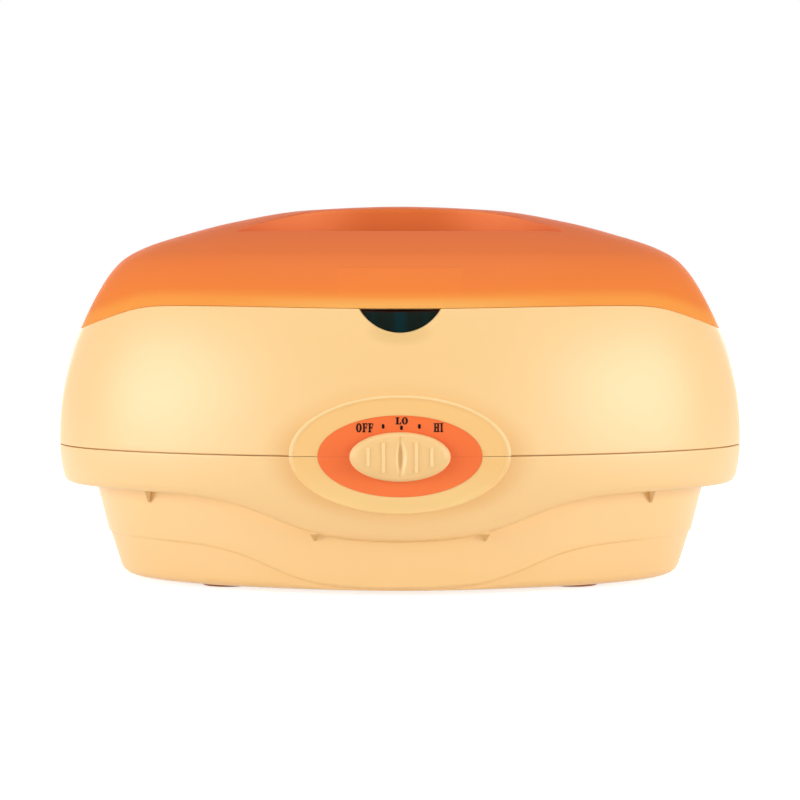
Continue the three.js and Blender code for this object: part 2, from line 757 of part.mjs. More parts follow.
// A half-moon pocket beside the grip bar; grow makes it larger on every side
function recess(side, grow) {
  const outerEdge = (x) => ovalDepth(recessReach + recessEndRoom, recessOuter, x);
  const innerEdge = (x) => gripHalfWidth + gripFlare * (x / recessReach) ** 2;
  const deepest = (outerEdge(0) - innerEdge(0)) / 2;
  const floor = lidTop - recessDeep - grow;
  const rows = [
    { margin: recessEase.floor, rise: 0 },
    { margin: recessEase.foot, rise: recessEase.footRise },
    { margin: 0, rise: recessEase.wallRise },
    { margin: 0, rise: recessDeep + grow + cutOverrun },
  ];
  const rings = rows.map(({ margin, rise }) => {
    const shrink = margin - grow;
    const reach = recessReach - recessTipShare * shrink;
    const edgeAt = (turn, part) => {
      const share = part * Math.cos(turn);
      const x = share * recessReach;
      const centre = (outerEdge(x) + innerEdge(x)) / 2;
      const taper = Math.sqrt(1 - share ** recessEndPower);
      const half = (outerEdge(x) - innerEdge(x)) / 2 * (1 - shrink / deepest) * taper;
      return [share * reach, side * (centre + part * half), floor + rise];
    };
    const turns = Array.from({ length: recessSteps }, (_, k) => fullTurn / 2 * k / recessSteps);
    const points = [1, -1].flatMap((part) => turns.map((turn) => edgeAt(turn, part)));
    return side > 0 ? points : points.reverse();
  });
  return solidOf(loft(rings));
}

function lidShell() {
  const hollow = cut(lidInner(), [recess(1, lidWall), recess(-1, lidWall)]);
  return cut(lidOuter(), [hollow, recess(1, 0), recess(-1, 0)]);
}

// A ring round the tank at a height. The wall leans in by the draft from the flange to the floor.
function tankOval(height, inset) {
  const lean = tankDraft * (flangeTop - height) / (flangeTop - tankFloor);
  return flatOval(tankLength / 2 - lean - inset, tankDepth / 2 - lean - inset, height, tankSides);
}

// Holes for the bosses of the tank screws
function tankBossHoles(low, high) {
  return tankScrewPlaces.map(([x, y]) => (
    post(tankScrew.boss + fitGap, x, y, low - cutOverrun, high + cutOverrun)
  ));
}

const thermostatY = thermostat.wallRoom - tankDepth / 2;
const strapStudPlaces = [-1, 1].map((side) => [side * strap.stud, thermostatY]);
const fuseStudPlace = [fuse.x, fuse.y + fuse.ear];

function tank() {
  const bend = tankRound * tankBendShare;
  const rings = [
    tankOval(tankUnder, tankRound - tankWall),
    tankOval(tankUnder + bend, bend - tankWall),
    tankOval(tankUnder + tankRound, -tankWall),
    tankOval(flangeTop - flangeWall, -tankWall),
    tankOval(flangeTop - flangeWall, -flangeWidth),
    tankOval(flangeTop, -flangeWidth),
    tankOval(flangeTop, 0),
    tankOval(tankFloor + tankRound, 0),
    tankOval(tankFloor + bend, bend),
    tankOval(tankFloor, tankRound),
  ];
  const studs = [...strapStudPlaces, fuseStudPlace].map(([x, y]) => (
    post(stud.radius, x, y, tankUnder - stud.length, tankUnder + tankWall / 2)
  ));
  return cut(join([solidOf(loft(rings)), ...studs]), tankBossHoles(flangeTop - flangeWall, flangeTop));
}

function tankGasket() {
  const ring = (room, height) => (
    flatOval(tankLength / 2 + room, tankDepth / 2 + room, height, tankSides)
  );
  const rings = [
    ring(flangeWidth, gasketLow), ring(flangeWidth, gasketTop),
    ring(deckOverlap, gasketTop), ring(deckOverlap, gasketLow),
  ];
  return cut(solidOf(loft(rings, true)), tankBossHoles(gasketLow, gasketTop));
}

function heaterBand() {
  const low = tankFloor + heater.lift;
  const inner = -tankWall - fitGap;
  const rings = [
    tankOval(low, inner - heater.wall), tankOval(low + heater.high, inner - heater.wall),
    tankOval(low + heater.high, inner), tankOval(low, inner),
  ];
  return solidOf(loft(rings, true));
}

// A machine screw that points up: a flat round head below, then the shank
function screw({ shank, head, headHigh }, x, y, low, tip) {
  const neckHeight = low + headHigh;
  return turned([
    [0, low], [head, low], [head, neckHeight], [shank, neckHeight], [shank, tip], [0, tip],
  ], x, y);
}

function tankScrewAt([x, y]) {
  const low = deckUnder - tankScrew.bossDrop - fitGap - tankScrew.headHigh;
  return screw(tankScrew, x, y, low, low + tankScrew.length);
}

function baseScrewAt([x, y]) {
  const low = waveHeight(bandEdge, x) + baseScrew.pocket - fitGap - baseScrew.headHigh;
  return screw(baseScrew, x, y, low, seamHigh + baseScrew.bite);
}

function hexNut({ across, high }, bore, [x, y], top) {
  const body = post(across / Math.sqrt(3), x, y, top - high, top, hexSides);
  return body.subtract(post(bore, x, y, top - high - cutOverrun, top + cutOverrun));
}

// Heights under the tank, from the thermostat's seat down to the lever's nut
const thermostatTop = tankUnder - fitGap;
const thermostatStep = thermostatTop - thermostat.baseHigh;
const thermostatNeck = thermostatStep - thermostat.bodyHigh;
const thermostatEnd = thermostatNeck - thermostat.neckHigh;
const strapTop = thermostatStep - fitGap;
const strapLow = strapTop - strap.wall;
const hubTop = thermostatEnd - lever.drop;
const hubLow = hubTop - lever.hubHigh;
const leverLow = (hubTop + hubLow - lever.wall) / 2;
const leverTop = leverLow + lever.wall;
const spindleBore = spindle.radius + fitGap;
const spindleTop = thermostatEnd + spindle.bore;

function thermostatBody() {
  const { base, body, neck: neckRadius } = thermostat;
  return turned([
    [0, spindleTop], [spindleBore, spindleTop], [spindleBore, thermostatEnd], [neckRadius, thermostatEnd],
    [neckRadius, thermostatNeck], [body, thermostatNeck], [body, thermostatStep], [base, thermostatStep],
    [base, thermostatTop], [0, thermostatTop],
  ], 0, thermostatY, roundSides);
}

// The strap has an eye round the thermostat's body, and a hole for a stud at each end
function thermostatStrap() {
  const low = strapLow - cutOverrun;
  const high = strapTop + cutOverrun;
  const plate = slab(span(0, strap.length), span(thermostatY, strap.wide), [strapLow, strapTop]);
  const eye = post(thermostat.body + strap.eyeWall, 0, thermostatY, strapLow, strapTop, roundSides);
  const body = post(thermostat.body + fitGap, 0, thermostatY, low, high, roundSides);
  const holes = strapStudPlaces.map(([x, y]) => post(stud.radius + fitGap, x, y, low, high));
  return cut(join([plate, eye]), [body, ...holes]);
}

function spindleRod() {
  const low = hubLow - fitGap - spindleNut.high - spindle.past;
  return post(spindle.radius, 0, thermostatY, low, spindleTop - fitGap);
}

// The lever's fork takes the carriage's pin
function thermostatLever() {
  const tip = thermostatY - lever.reach - lever.tip;
  const arm = slab(span(0, lever.wide), [tip, thermostatY], [leverLow, leverTop]);
  const hub = post(lever.hub, 0, thermostatY, hubLow, hubTop, roundSides);
  const bore = post(spindleBore, 0, thermostatY, hubLow - cutOverrun, hubTop + cutOverrun);
  const fork = slab(
    [-leverFork.half, leverFork.half],
    [tip - cutOverrun, thermostatY - lever.reach + leverFork.back],
    [leverLow - cutOverrun, leverTop + cutOverrun],
  );
  return cut(join([arm, hub]), [bore, fork]);
}

function leverNut() {
  return hexNut(spindleNut, spindleBore, [0, thermostatY], hubLow - fitGap);
}

const fuseHeight = tankUnder - fitGap - fuse.radius;
const clipTop = tankUnder - 2 * fitGap;
const clipLow = clipTop - fuse.clipWall;

// A round rod along the length
function lengthRod(radius, length, x, y, z) {
  const geometry = new THREE.CylinderGeometry(radius, radius, length, roundSides);
  geometry.rotateZ(quarterTurn);
  geometry.translate(x, y, z);
  return solidOf(geometry);
}

function thermalFuse() {
  return lengthRod(fuse.radius, fuse.length, fuse.x, fuse.y, fuseHeight);
}

// A sprung strip that holds the fuse up against the tank, with one ear under its stud
function fuseClip() {
  const inner = fuse.radius + fitGap;
  const outer = inner + fuse.clipWall;
  const earEnd = fuse.y + fuse.ear + nut.across / 2;
  const shape = new THREE.Shape();
  shape.moveTo(earEnd, clipTop);
  shape.lineTo(fuse.y + inner, clipTop);
  shape.absarc(fuse.y, fuseHeight, inner, 0, Math.PI, true);
  shape.lineTo(fuse.y - outer, fuseHeight);
  shape.absarc(fuse.y, fuseHeight, outer, Math.PI, fullTurn, false);
  shape.lineTo(fuse.y + outer, clipLow);
  shape.lineTo(earEnd, clipLow);
  const [x, y] = fuseStudPlace;
  const hole = post(stud.radius + fitGap, x, y, clipLow - cutOverrun, clipTop + cutOverrun);
  return solidOf(sidePrism(shape, fuse.x, fuse.clipWide)).subtract(hole);
}

function fuseNut() {
  return hexNut(nut, stud.radius + fitGap, fuseStudPlace, clipLow - fitGap);
}

function strapNut(place) {
  return hexNut(nut, stud.radius + fitGap, place, strapLow - fitGap);
}

// A flat plate with two rows of slots on four short feet, laid loose on the tank's floor
function tankGrille() {
  const low = tankFloor + grille.lift;
  const high = low + grille.wall;
  const halfLength = tankLength / 2 - grille.endRoom;
  const halfDepth = tankDepth / 2 - grille.sideRoom;
  const plate = [low, high].map((height) => flatOval(halfLength, halfDepth, height, grilleSides));
  const pitch = grille.slot + grille.bar;
  const perSide = Math.floor((halfLength - grilleBorder.end - grille.slot / 2) / pitch);
  const through = [low - cutOverrun, high + cutOverrun];
  const slots = [];
  for (let k = -perSide; k <= perSide; k += 1) {
    const x = k * pitch;
    const across = span(x, grille.slot);
    const reach = ovalDepth(halfLength, halfDepth, Math.abs(x) + grille.slot / 2) - grilleBorder.side;
    slots.push(slab(across, [grille.bar / 2, reach], through));
    slots.push(slab(across, [-reach, -grille.bar / 2], through));
  }
  const footAlong = perSide * pitch / 2;
  const footAcross = ovalDepth(halfLength, halfDepth, footAlong) - grilleBorder.side / 2;
  const feet = [[1, 1], [-1, 1], [-1, -1], [1, -1]].map(([side, end]) => (
    post(grille.foot, side * footAlong, end * footAcross, tankFloor + fitGap, low + grille.wall / 2)
  ));
  return join([cut(solidOf(loft(plate)), slots), ...feet]);
}

// The lamp's tray stands out from behind the window's pane
const trayTop = lidLineFront - tray.drop;
const trayFront = skin(trayTop, lampWindow.back + 2 * fitGap)[1];
const trayBack = trayFront - tray.deep;

function lampTray() {
  const floor = slab(span(0, tray.length), [-trayFront, -trayBack], [trayTop - tray.wall, trayTop]);
  const back = slab(
    span(0, tray.length),
    [-trayBack - tray.wall, -trayBack],
    [trayTop - tray.wall, trayTop + tray.high],
  );
  return join([floor, back]);
}

function neonLamp() {
  const y = -trayBack - tray.wall - fitGap - lamp.radius;
  return lengthRod(lamp.radius, lamp.length, 0, y, trayTop + fitGap + lamp.radius);
}

const knobBack = housingDepth / 2 + dial.proud + knob.lift;

// The carriage clears the tongue, which curves towards it at the end of its travel
const carriageSide = slideTravel + carriage.wide / 2;
const tongueInner = housingWall + fitGap + tongueWall;
const wallSag = housingDepth / 2 - ovalDepth(housingLength / 2, housingDepth / 2, carriageSide);
const carriageFront = housingDepth / 2 - tongueInner - carriage.play - fitGap - wallSag;

// How far out the knob's crown stands where its row of a given size lies
function crownOut(size) {
  const k = knobRowShares.findIndex((row, i) => i > 0 && row.size <= size);
  const [before, after] = [knobRowShares[k - 1], knobRowShares[k]];
  return knob.thick * mix(after.out, before.out, (size - after.size) / (before.size - after.size));
}

function ribFront(x) {
  return knobBack + crownOut(2 * x / knob.length) + rib.proud;
}

function knobRow({ size, out }) {
  const wide = Math.max(size, weldGap);
  const points = [];
  for (let i = 0; i < knobSides; i += 1) {
    const angle = (i / knobSides) * fullTurn;
    points.push([
      Math.cos(angle) * wide * knob.length / 2,
      Math.sin(angle) * wide * knob.height / 2,
      out * knob.thick,
    ]);
  }
  return points;
}

// A lens-shaped groove down the knob's middle, with a V section that follows the crown
function knobGroove() {
  const rings = [];
  for (let k = 0; k <= grooveSteps; k += 1) {
    const share = 2 * k / grooveSteps - 1;
    const open = 1 - share ** 2;
    const z = share * groove.high / 2;
    const face = knobBack + crownOut(Math.abs(2 * z / knob.height));
    const half = (1 + open) * groove.wide / 2;
    rings.push([
      [0, open * groove.deep - face, controlHeight + z],
      [-half, -face - groove.deep, controlHeight + z],
      [half, -face - groove.deep, controlHeight + z],
    ]);
  }
  return solidOf(loft(rings));
}

function knobRibs() {
  const root = knob.thick * knobRowShares[1].out;
  return [[rib.inner, rib.innerHigh], [rib.outer, rib.outerHigh]].flatMap(([x, high]) => (
    [-x, x].map((place) => (
      slab(span(place, rib.wide), [-ribFront(x), -knobBack - root], span(controlHeight, high))
    ))
  ));
}

function sliderKnob() {
  const crown = loft(knobRowShares.map(knobRow));
  crown.rotateX(quarterTurn);
  crown.translate(0, -knobBack, controlHeight);
  const neckBack = -carriageFront - fitGap;
  const stem = slab(
    span(0, neck.wide),
    [-knobBack - knob.thick / 4, neckBack],
    span(controlHeight, neck.high),
  );
  const boreFront = neckBack - carriageScrew.length;
  const bore = depthPost(carriageScrew.shank + fitGap, controlHeight, boreFront, neckBack + cutOverrun);
  return cut(join([solidOf(crown), ...knobRibs(), stem]), [knobGroove(), bore]);
}

// A plate behind the wall, an arm back over the lever and a leg down to the pin in its fork
function sliderCarriage() {
  const front = -carriageFront;
  const back = front + carriage.wall;
  const armLow = controlHeight - carriage.drop;
  const armHeight = [armLow, armLow + carriage.arm];
  const pinY = thermostatY - lever.reach;
  const legLow = leverTop + leg.clear;
  const plate = slab(span(0, carriage.wide), [front, back], [armLow, controlHeight + carriage.rise]);
  const arm = slab(span(0, leg.wide), [front, pinY + leg.deep / 2], armHeight);
  const upright = slab(span(0, leg.wide), span(pinY, leg.deep), [legLow, armHeight[1]]);
  const pin = post(leg.pin, 0, pinY, leverLow - leg.pinPast, legLow + leg.pin);
  const holeRadius = carriageScrew.shank + fitGap;
  const hole = depthPost(holeRadius, controlHeight, front - cutOverrun, back + cutOverrun);
  return cut(join([plate, arm, upright, pin]), [hole]);
}

function sliderScrew() {
  const { shank, head, headHigh, length } = carriageScrew;
  const seat = -carriageFront + carriage.wall + fitGap;
  return turnedInDepth([
    [0, seat - length], [shank, seat - length], [shank, seat], [head, seat], [head, seat + headHigh],
    [0, seat + headHigh],
  ], controlHeight);
}

function cordGland() {
  const { flange, flangeHigh, tube, bore, inside } = gland;
  const face = glandFace + fitGap;
  return turnedInDepth([
    [bore, face - inside], [tube, face - inside], [tube, face], [flange, face], [flange, face + flangeHigh],
    [bore, face + flangeHigh], [bore, face - inside],
  ], gland.height, roundSides);
}

const blockLow = floorTop + fitGap;
const blockTop = blockLow + block.high;
const terminalPlaces = [-1, 0, 1].map((step) => [block.x + step * terminalScrew.apart, blockY]);

function terminalBlock() {
  const body = slab(span(block.x, block.length), span(blockY, block.deep), [blockLow, blockTop]);
  const wells = terminalPlaces.map(([x, y]) => (
    post(terminalScrew.radius + fitGap, x, y, blockTop - terminalScrew.sink, blockTop + cutOverrun)
  ));
  const pegHoles = pegPlaces.map(([x, y]) => (
    post(block.peg + fitGap, x, y, blockLow - cutOverrun, floorTop + block.pegHigh + fitGap)
  ));
  return cut(body, [...wells, ...pegHoles]);
}

function terminalScrewAt([x, y]) {
  const low = blockTop - terminalScrew.sink + fitGap;
  return post(terminalScrew.radius, x, y, low, low + terminalScrew.high);
}

function rubberFoot([x, y]) {
  const { radius, round, high } = foot;
  const stemTop = high + footStem.high;
  return turned([
    [0, 0], [radius - round, 0], [radius, round], [radius, high], [footStem.radius, high],
    [footStem.radius, stemTop], [0, stemTop],
  ], x, y, roundSides);
}

// A lead from a terminal of the block to an end, by way of shares of the way between them
function lead(terminal, end, wayShares) {
  const start = [...terminalPlaces[terminal], blockTop + leadSize.rise];
  const way = wayShares.map((shares) => shares.map((share, axis) => mix(start[axis], end[axis], share)));
  const points = [start, ...way, end].map((point) => new THREE.Vector3(...point));
  const section = cornerShape(Array.from({ length: leadSides }, (_, i) => {
    const angle = (i / leadSides) * fullTurn;
    return [Math.cos(angle) * leadSize.radius, Math.sin(angle) * leadSize.radius];
  }));
  const extrudePath = new THREE.CatmullRomCurve3(points);
  return solidOf(new THREE.ExtrudeGeometry(section, { steps: leadSteps, extrudePath }));
}

function fuseLead() {
  const x = fuse.x + fuse.length / 2 + leadSize.endGap;
  return lead(0, [x, fuse.y, fuseHeight - leadSize.radius / 2], fuseLeadShares);
}

function thermostatLead() {
  const x = thermostat.body + leadSize.endGap;
  return lead(2, [x, thermostatY + leadSize.aside, thermostatNeck + leadSize.up], thermostatLeadShares);
}

// The heater's lead ends against the band's outer face
function heaterLead() {
  const room = tankWall + fitGap + heater.wall - tankDraft / 2;
  const face = ovalDepth(tankLength / 2 + room, tankDepth / 2 + room, leadSize.heaterX);
  const y = face + leadSize.radius + leadSize.endGap / 2;
  return lead(1, [leadSize.heaterX, y, tankFloor + heater.lift + leadSize.heaterUp], heaterLeadShares);
}

// Pieces of one kind are numbered from 1
function numbered(name, places, make, finish) {
  return places.map((place, i) => piece(`${name}_${i + 1}`, make(place), finish));
}

const bath = new THREE.Group();
bath.add(
  piece('lid', lidShell(), finishes.lid),
  piece('upper_housing', upperHousing(), finishes.cream),
  piece('lower_housing', lowerHousing(), finishes.cream),
  piece('dial_plate', dialPlate(), finishes.dial),
  piece('slider_knob', sliderKnob(), finishes.cream),
  piece('slider_carriage', sliderCarriage(), finishes.black),
  piece('carriage_screw', sliderScrew(), finishes.steel),
  piece('lamp_window', lampWindowPlate(), finishes.smoked),
  piece('lamp_tray', lampTray(), finishes.white),
  piece('neon_lamp', neonLamp(), finishes.glow),
  piece('tank', tank(), finishes.aluminium),
  piece('tank_gasket', tankGasket(), finishes.silicone),
  piece('tank_grille', tankGrille(), finishes.white),
  piece('heater_band', heaterBand(), finishes.silicone),
  piece('thermostat', thermostatBody(), finishes.white),
  piece('thermostat_strap', thermostatStrap(), finishes.steel),
  piece('thermostat_spindle', spindleRod(), finishes.brass),
  piece('thermostat_lever', thermostatLever(), finishes.steel),
  piece('lever_nut', leverNut(), finishes.brass),
  piece('thermal_fuse', thermalFuse(), finishes.white),
  piece('fuse_clip', fuseClip(), finishes.steel),
  piece('fuse_nut', fuseNut(), finishes.steel),
  piece('cord_gland', cordGland(), finishes.black),
  piece('terminal_block', terminalBlock(), finishes.white),
  ...numbered('strap_nut', strapStudPlaces, strapNut, finishes.steel),
  ...numbered('tank_screw', tankScrewPlaces, tankScrewAt, finishes.steel),
  ...numbered('base_screw', baseScrewPlaces, baseScrewAt, finishes.steel),
  ...numbered('terminal_screw', terminalPlaces, terminalScrewAt, finishes.brass),
  ...numbered('foot', footPlaces, rubberFoot, finishes.rubber),
  piece('heater_lead', heaterLead(), finishes.black),
  piece('fuse_lead', fuseLead(), finishes.black),
  piece('thermostat_lead', thermostatLead(), finishes.black),
);

// The origin lies under the middle of the whole depth, from the knob's ribs to the gland's flange
const frontReach = ribFront(rib.inner);
const backReach = glandFace + fitGap + gland.flangeHigh;
bath.position.y = (frontReach - backReach) / 2;

export default bath;
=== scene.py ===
import math

import bmesh
import bpy
import numpy as np
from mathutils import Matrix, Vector


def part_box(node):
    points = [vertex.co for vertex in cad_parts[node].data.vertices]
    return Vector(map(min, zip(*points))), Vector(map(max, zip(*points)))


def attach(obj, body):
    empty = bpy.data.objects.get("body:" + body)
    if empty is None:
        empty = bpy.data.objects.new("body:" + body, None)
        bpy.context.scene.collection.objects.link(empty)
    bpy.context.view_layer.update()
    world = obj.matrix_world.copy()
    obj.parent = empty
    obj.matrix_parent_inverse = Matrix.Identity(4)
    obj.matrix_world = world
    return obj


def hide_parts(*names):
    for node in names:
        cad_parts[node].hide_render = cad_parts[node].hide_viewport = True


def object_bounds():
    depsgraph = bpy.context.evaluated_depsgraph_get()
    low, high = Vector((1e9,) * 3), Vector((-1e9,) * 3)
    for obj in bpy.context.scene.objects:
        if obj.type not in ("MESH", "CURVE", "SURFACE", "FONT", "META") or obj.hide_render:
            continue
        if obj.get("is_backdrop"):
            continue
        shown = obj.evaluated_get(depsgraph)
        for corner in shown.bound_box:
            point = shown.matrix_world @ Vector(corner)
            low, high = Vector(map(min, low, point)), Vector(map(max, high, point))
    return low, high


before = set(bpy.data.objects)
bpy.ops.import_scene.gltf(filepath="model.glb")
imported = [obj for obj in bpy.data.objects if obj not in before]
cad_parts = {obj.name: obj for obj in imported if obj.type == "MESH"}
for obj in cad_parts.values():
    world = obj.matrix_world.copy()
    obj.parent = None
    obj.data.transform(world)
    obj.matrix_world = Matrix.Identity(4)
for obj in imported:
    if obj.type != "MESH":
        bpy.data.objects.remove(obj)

cad_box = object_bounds()
tank_low, tank_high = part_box("tank")

# The shapes below are worked out in millimetres, as the source of the part writes them.
# The frame is in metres, with the whole bath moved along Y so that its box is centred.
MM = 0.001
SHIFT = (tank_low[1] + tank_high[1]) / 2
QUARTER = math.pi / 2

# Housing: the outline at the seam, and how far the skin draws in above and below it
HALF_LENGTH, HALF_DEPTH = 192.5, 112.5
WALL = 2.5
SEAM, SEAM_GAP = 75.6, 0.5
PLAN_POWER, EVEN = 1.92, 0.13
UPPER_DRAW, UPPER_RISE, UPPER_POWER = 11.7, 63.0, 2.2
LOWER_DRAW, LOWER_DROP, LOWER_POWER = 12.5, 45.6, 1.75
DEPTH_SHARE = 0.85

# The line under the lid, and the rim and the deck inside it
LINE_FRONT, LINE_RISE, LINE_REACH = 152.5, 3.7, 120
LINE_FALL, LINE_END, LINE_EASE = 0.375, 141, 12
LID_GAP, LID_PLAY = 0.1, 1.7
RIM_TOP, RIM_LEAN, RIM_WALL = 163.5, 0.5, 2.5
RIM_LEVELS = (157.0, 160.5)
DECK_TOP, DECK_WALL = 150.0, 2.5

# The band and the step of the base, as heights in the middle and at the ends, and where they turn
BAND_EDGE = (29.6, 53.9, 67.0, 31.0)
STEP_EDGE = (3.2, 25.5, 70.5, 27.0)
STEP_OUT, STEP_RISE, STEP_ROLL, BOTTOM_ROUND = 2.6, 2.2, 2.1, 5.0
EDGE_IN, EDGE_ROLL = 3.0, 4.5
FLOOR_UNDER = 2.5
BASE_HALF_LENGTH, BASE_LENGTH_FLARE = 158.3, 0.25
BASE_HALF_DEPTH, BASE_DEPTH_FLARE = 94, 0.1
TIER_IN, TIER_TAPER, TIER_TOP = 0.8, 0.07, 26
TONGUE_PLAY, TONGUE_WALL, TONGUE_UP, TONGUE_DOWN = 0.3, 1.3, 4, 6

# Rounded edges, as steps of (inset, drop)
SEAM_ROUND = ((0.0, 0.6), (0.05, 0.24), (0.22, 0.06), (0.6, 0.0))
TOP_ROUND = ((0.0, 0.5), (0.04, 0.22), (0.16, 0.06), (0.4, 0.0))
RIM_ROUND = ((0.0, 0.9), (0.2, 0.3), (0.8, 0.0))
# The deck's fillet goes by (inset, rise), and its hole by (distance outside the tank, drop)
DECK_FILLET = ((0.0, 1.6), (0.4, 0.45), (1.6, 0.0))
DECK_HOLE = ((1.3, 0.0), (0.7, 0.25), (0.5, 0.8), (0.5, DECK_WALL), (11, DECK_WALL))

# Brackets under the band: their place, width, reach and depth
GUSSETS = ((136.6, 3.2, 6.5, 7.2), (45, 5.0, 5, 4.6))
GUSSET_SUNK, GUSSET_UP, GUSSET_TOE, GUSSET_BEVEL = 1.6, 1.2, 0.2, 0.25
# Where the gussets' painted shade and painted highlight are laid, and how far from each place
GUSSET_LIGHT_PLACES, GUSSET_LIGHT_REACH = (137, 45), 2.7

# Under the base
SCREW_ANGLES, SCREW_IN = (0, 40, 140, 180, 220, 320), 11
BOSS_RADIUS, BOSS_ROOM, BOSS_UP = 4.8, 2, 1.2
SCREW_POCKET = ((0, -3), (3.9, -3), (3.9, -0.3), (3.55, 0.15), (3.55, 3), (1.8, 3), (1.8, 12), (0, 12))
FEET = [(-94.5, -42), (94.5, -42), (94.5, 42), (-94.5, 42)]
FOOT_STRETCH = 1.2
FOOT_HOLE = ((0, -3), (12.9, -3), (12.9, -0.3), (12.4, 0.2), (12.4, 1.8), (0, 1.8))
FOOT_PROFILE = (
    (0, 0.5), (5.2, 0.5), (5.6, 0.0), (7.4, 0.0), (7.8, 0.45), (8.8, 0.45), (9.2, 0.0), (11.1, 0.0),
    (11.75, 0.3), (12, 0.95), (12, 4.0), (3.4, 4.0), (3.4, 7.4), (0, 7.4),
)
VENT_X, VENT_APART, VENT_LENGTH, VENT_WIDE, VENT_ROWS = 34, 9, 44, 3, 4

# The cord's gland at the back
GLAND_HIGH, GLAND_FLANGE = 52.0, 2.5
GLAND_FACE = (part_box("cord_gland")[1].y - SHIFT) / MM - GLAND_FLANGE
GLAND_INSIDE = (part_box("cord_gland")[0].y - SHIFT) / MM
GLAND_BORE, GLAND_NECK, GLAND_RIM = 4.0, 6.0, 9.0
PAD_RADIUS, PAD_SUNK, PAD_ROUND = 12.0, 7, 0.5

# Lamp window: its steps are (inset, top, depth under the housing's face)
WINDOW_HALF, WINDOW_DROP, WINDOW_TOP = 21.5, 12.6, 152.5
FACE_TOP, CUT_TOP = 153.0, 158.0
WINDOW_CUT = ((-0.95, CUT_TOP, -2.5), (-0.95, CUT_TOP, -0.35), (0.0, CUT_TOP, 0.6), (0.0, CUT_TOP, 3.9))
WINDOW_PANE = ((0.3, 152.0, 2.9), (0.3, 152.0, 0.75), (0.55, 151.75, 0.5), (3.55, 150.25, 0.5))

# Lid: shares of half length, half depth and height, and how far each row follows the edge below it
LID_TOP, LID_END, LID_SIDE_ROWS = 208.8, 180.3, 74
LID_ROWS = np.array([
    (1.000, 1.000, 0.000, 1.00), (0.979, 0.968, 0.122, 0.80), (0.939, 0.917, 0.321, 0.50),
    (0.901, 0.865, 0.470, 0.25), (0.863, 0.814, 0.570, 0.10), (0.792, 0.721, 0.669, 0.00),
    (0.673, 0.592, 0.769, 0.00), (0.528, 0.443, 0.868, 0.00), (0.297, 0.237, 0.968, 0.00),
    (0.000, 0.000, 1.000, 0.00),
])
LID_SPAN, LID_CROWN = 180, 68.4
LID_ROUND = ((0.03, 0.18), (0.14, 0.05), (0.35, 0.0), (WALL - 0.6, 0.0), (WALL - 0.15, 0.12))
LID_OUTSIDE_RISE, LID_INSIDE_RISE = 0.42, 0.5
RECESS_OUTER, RECESS_REACH, RECESS_FLOOR = 53.5, 114.5, 180.0
RECESS_OPEN, RECESS_LEAST, RECESS_FULL = 16, 2.5, 14
GRIP_HALF, GRIP_FLARE, GRIP_REACH = 19.0, 10.4, 80.0
LIP_REACH = 2.6
# Each wall of a recess: distance in from its edge, with the depth below the dome or the height over the floor
RECESS_LIP = ((-LIP_REACH, 0.0), (-1.7, 0.1), (-0.9, 0.42), (-0.35, 1.0), (-0.05, 1.9), (0.1, 3.0))
RECESS_FOOT = ((0.7, 4.2), (0.95, 2.6), (1.6, 1.2), (2.7, 0.4), (4.2, 0.0))

# Tank: the flange's steps are (drop, outset)
TANK_HALF_LENGTH, TANK_HALF_DEPTH = 145.0, 82.5
TANK_FLOOR, TANK_DRAFT, TANK_WALL, TANK_CORNER, TANK_MIDDLE = 68.0, 3.0, 1.5, 8, 100
FLANGE_TOP, FLANGE_WIDTH = 145.9, 9.5
FLANGE = (
    (3.4, TANK_WALL), (2.0, TANK_WALL + 0.5), (TANK_WALL, TANK_WALL + 2), (TANK_WALL, FLANGE_WIDTH),
    (0.75, FLANGE_WIDTH + 0.3), (0.0, FLANGE_WIDTH), (0.0, 2.0), (0.35, 0.7), (1.6, 0.0),
)
STUD_RADIUS, STUD_LENGTH, STUD_ROOT = 1.5, 9.6, 0.6
STUDS = ((-18, -45), (18, -45), (46, 1))

# Grille: a ring with bars across it and a spine along it
GRILLE_HALF_LENGTH, GRILLE_HALF_DEPTH = 128.0, 66.0
GRILLE_LOW, GRILLE_HIGH = 72.0, 74.5
GRILLE_RING = (23, 9)
GRILLE_ROUND = ((0.0, 0.6), (0.18, 0.18), (0.6, 0.0))
BARS, BAR_PITCH, BAR_WIDE, BAR_THICK, BAR_MIDDLE, BAR_SHORT = 12, 19, 7, 2.3, 73.2, 4
SPINE_HALF, SPINE_SHORT, SPINE_LEVELS = 3.5, 5, (72.2, 74.15)
GRILLE_FOOT = ((0, 0), (3.6, 0), (4, 0.4), (4, 4.6), (0, 4.6))
GRILLE_FEET = (48, 52.5, 68.3)

# Screws: head radius and height, shank radius, and length of the cross
SCREWS = {"base_screw": (3.3, 2.0, 1.5, 3.7), "tank_screw": (3.6, 1.6, 1.3, 3.9)}
CROSS_WIDE, CROSS_DEEP = 0.95, 1.1

# Control: bezel, dial plate and slider; the profiles are (inset, height over the housing's face)
CONTROL = 75.8
BEZEL, BEZEL_LIFT = (58.0, 31.3), 0.6
BEZEL_PROFILE = (
    (0.0, -1.4), (0.0, 0.9), (0.1, 1.4), (0.35, 1.8), (0.75, 2.0), (1.15, 1.95), (1.6, 1.68), (2.0, 1.4),
    (2.5, 1.25),
)
BEZEL_INSIDE = ((0.03, 1.15), (0.02, 0.8), (0.02, -1.4))
BEZEL_PLAY = 0.2
SEAM_LINE = 0.13
DIAL = (43.0, 21.4)
DIAL_PROUD, DIAL_WALL = 1.1, 1.4
DIAL_EDGE = ((0.02, DIAL_PROUD - DIAL_WALL), (0.02, 0.95), (0.06, 1.06), (0.25, DIAL_PROUD))
KNOB = (26.25, 12.85)
KNOB_LIFT, KNOB_THICK = 0.6, 5.5
KNOB_BACK = -(HALF_DEPTH + DIAL_PROUD + KNOB_LIFT)
SLIDE_TRAVEL = 19.0
NECK = (4.0, 2.2)
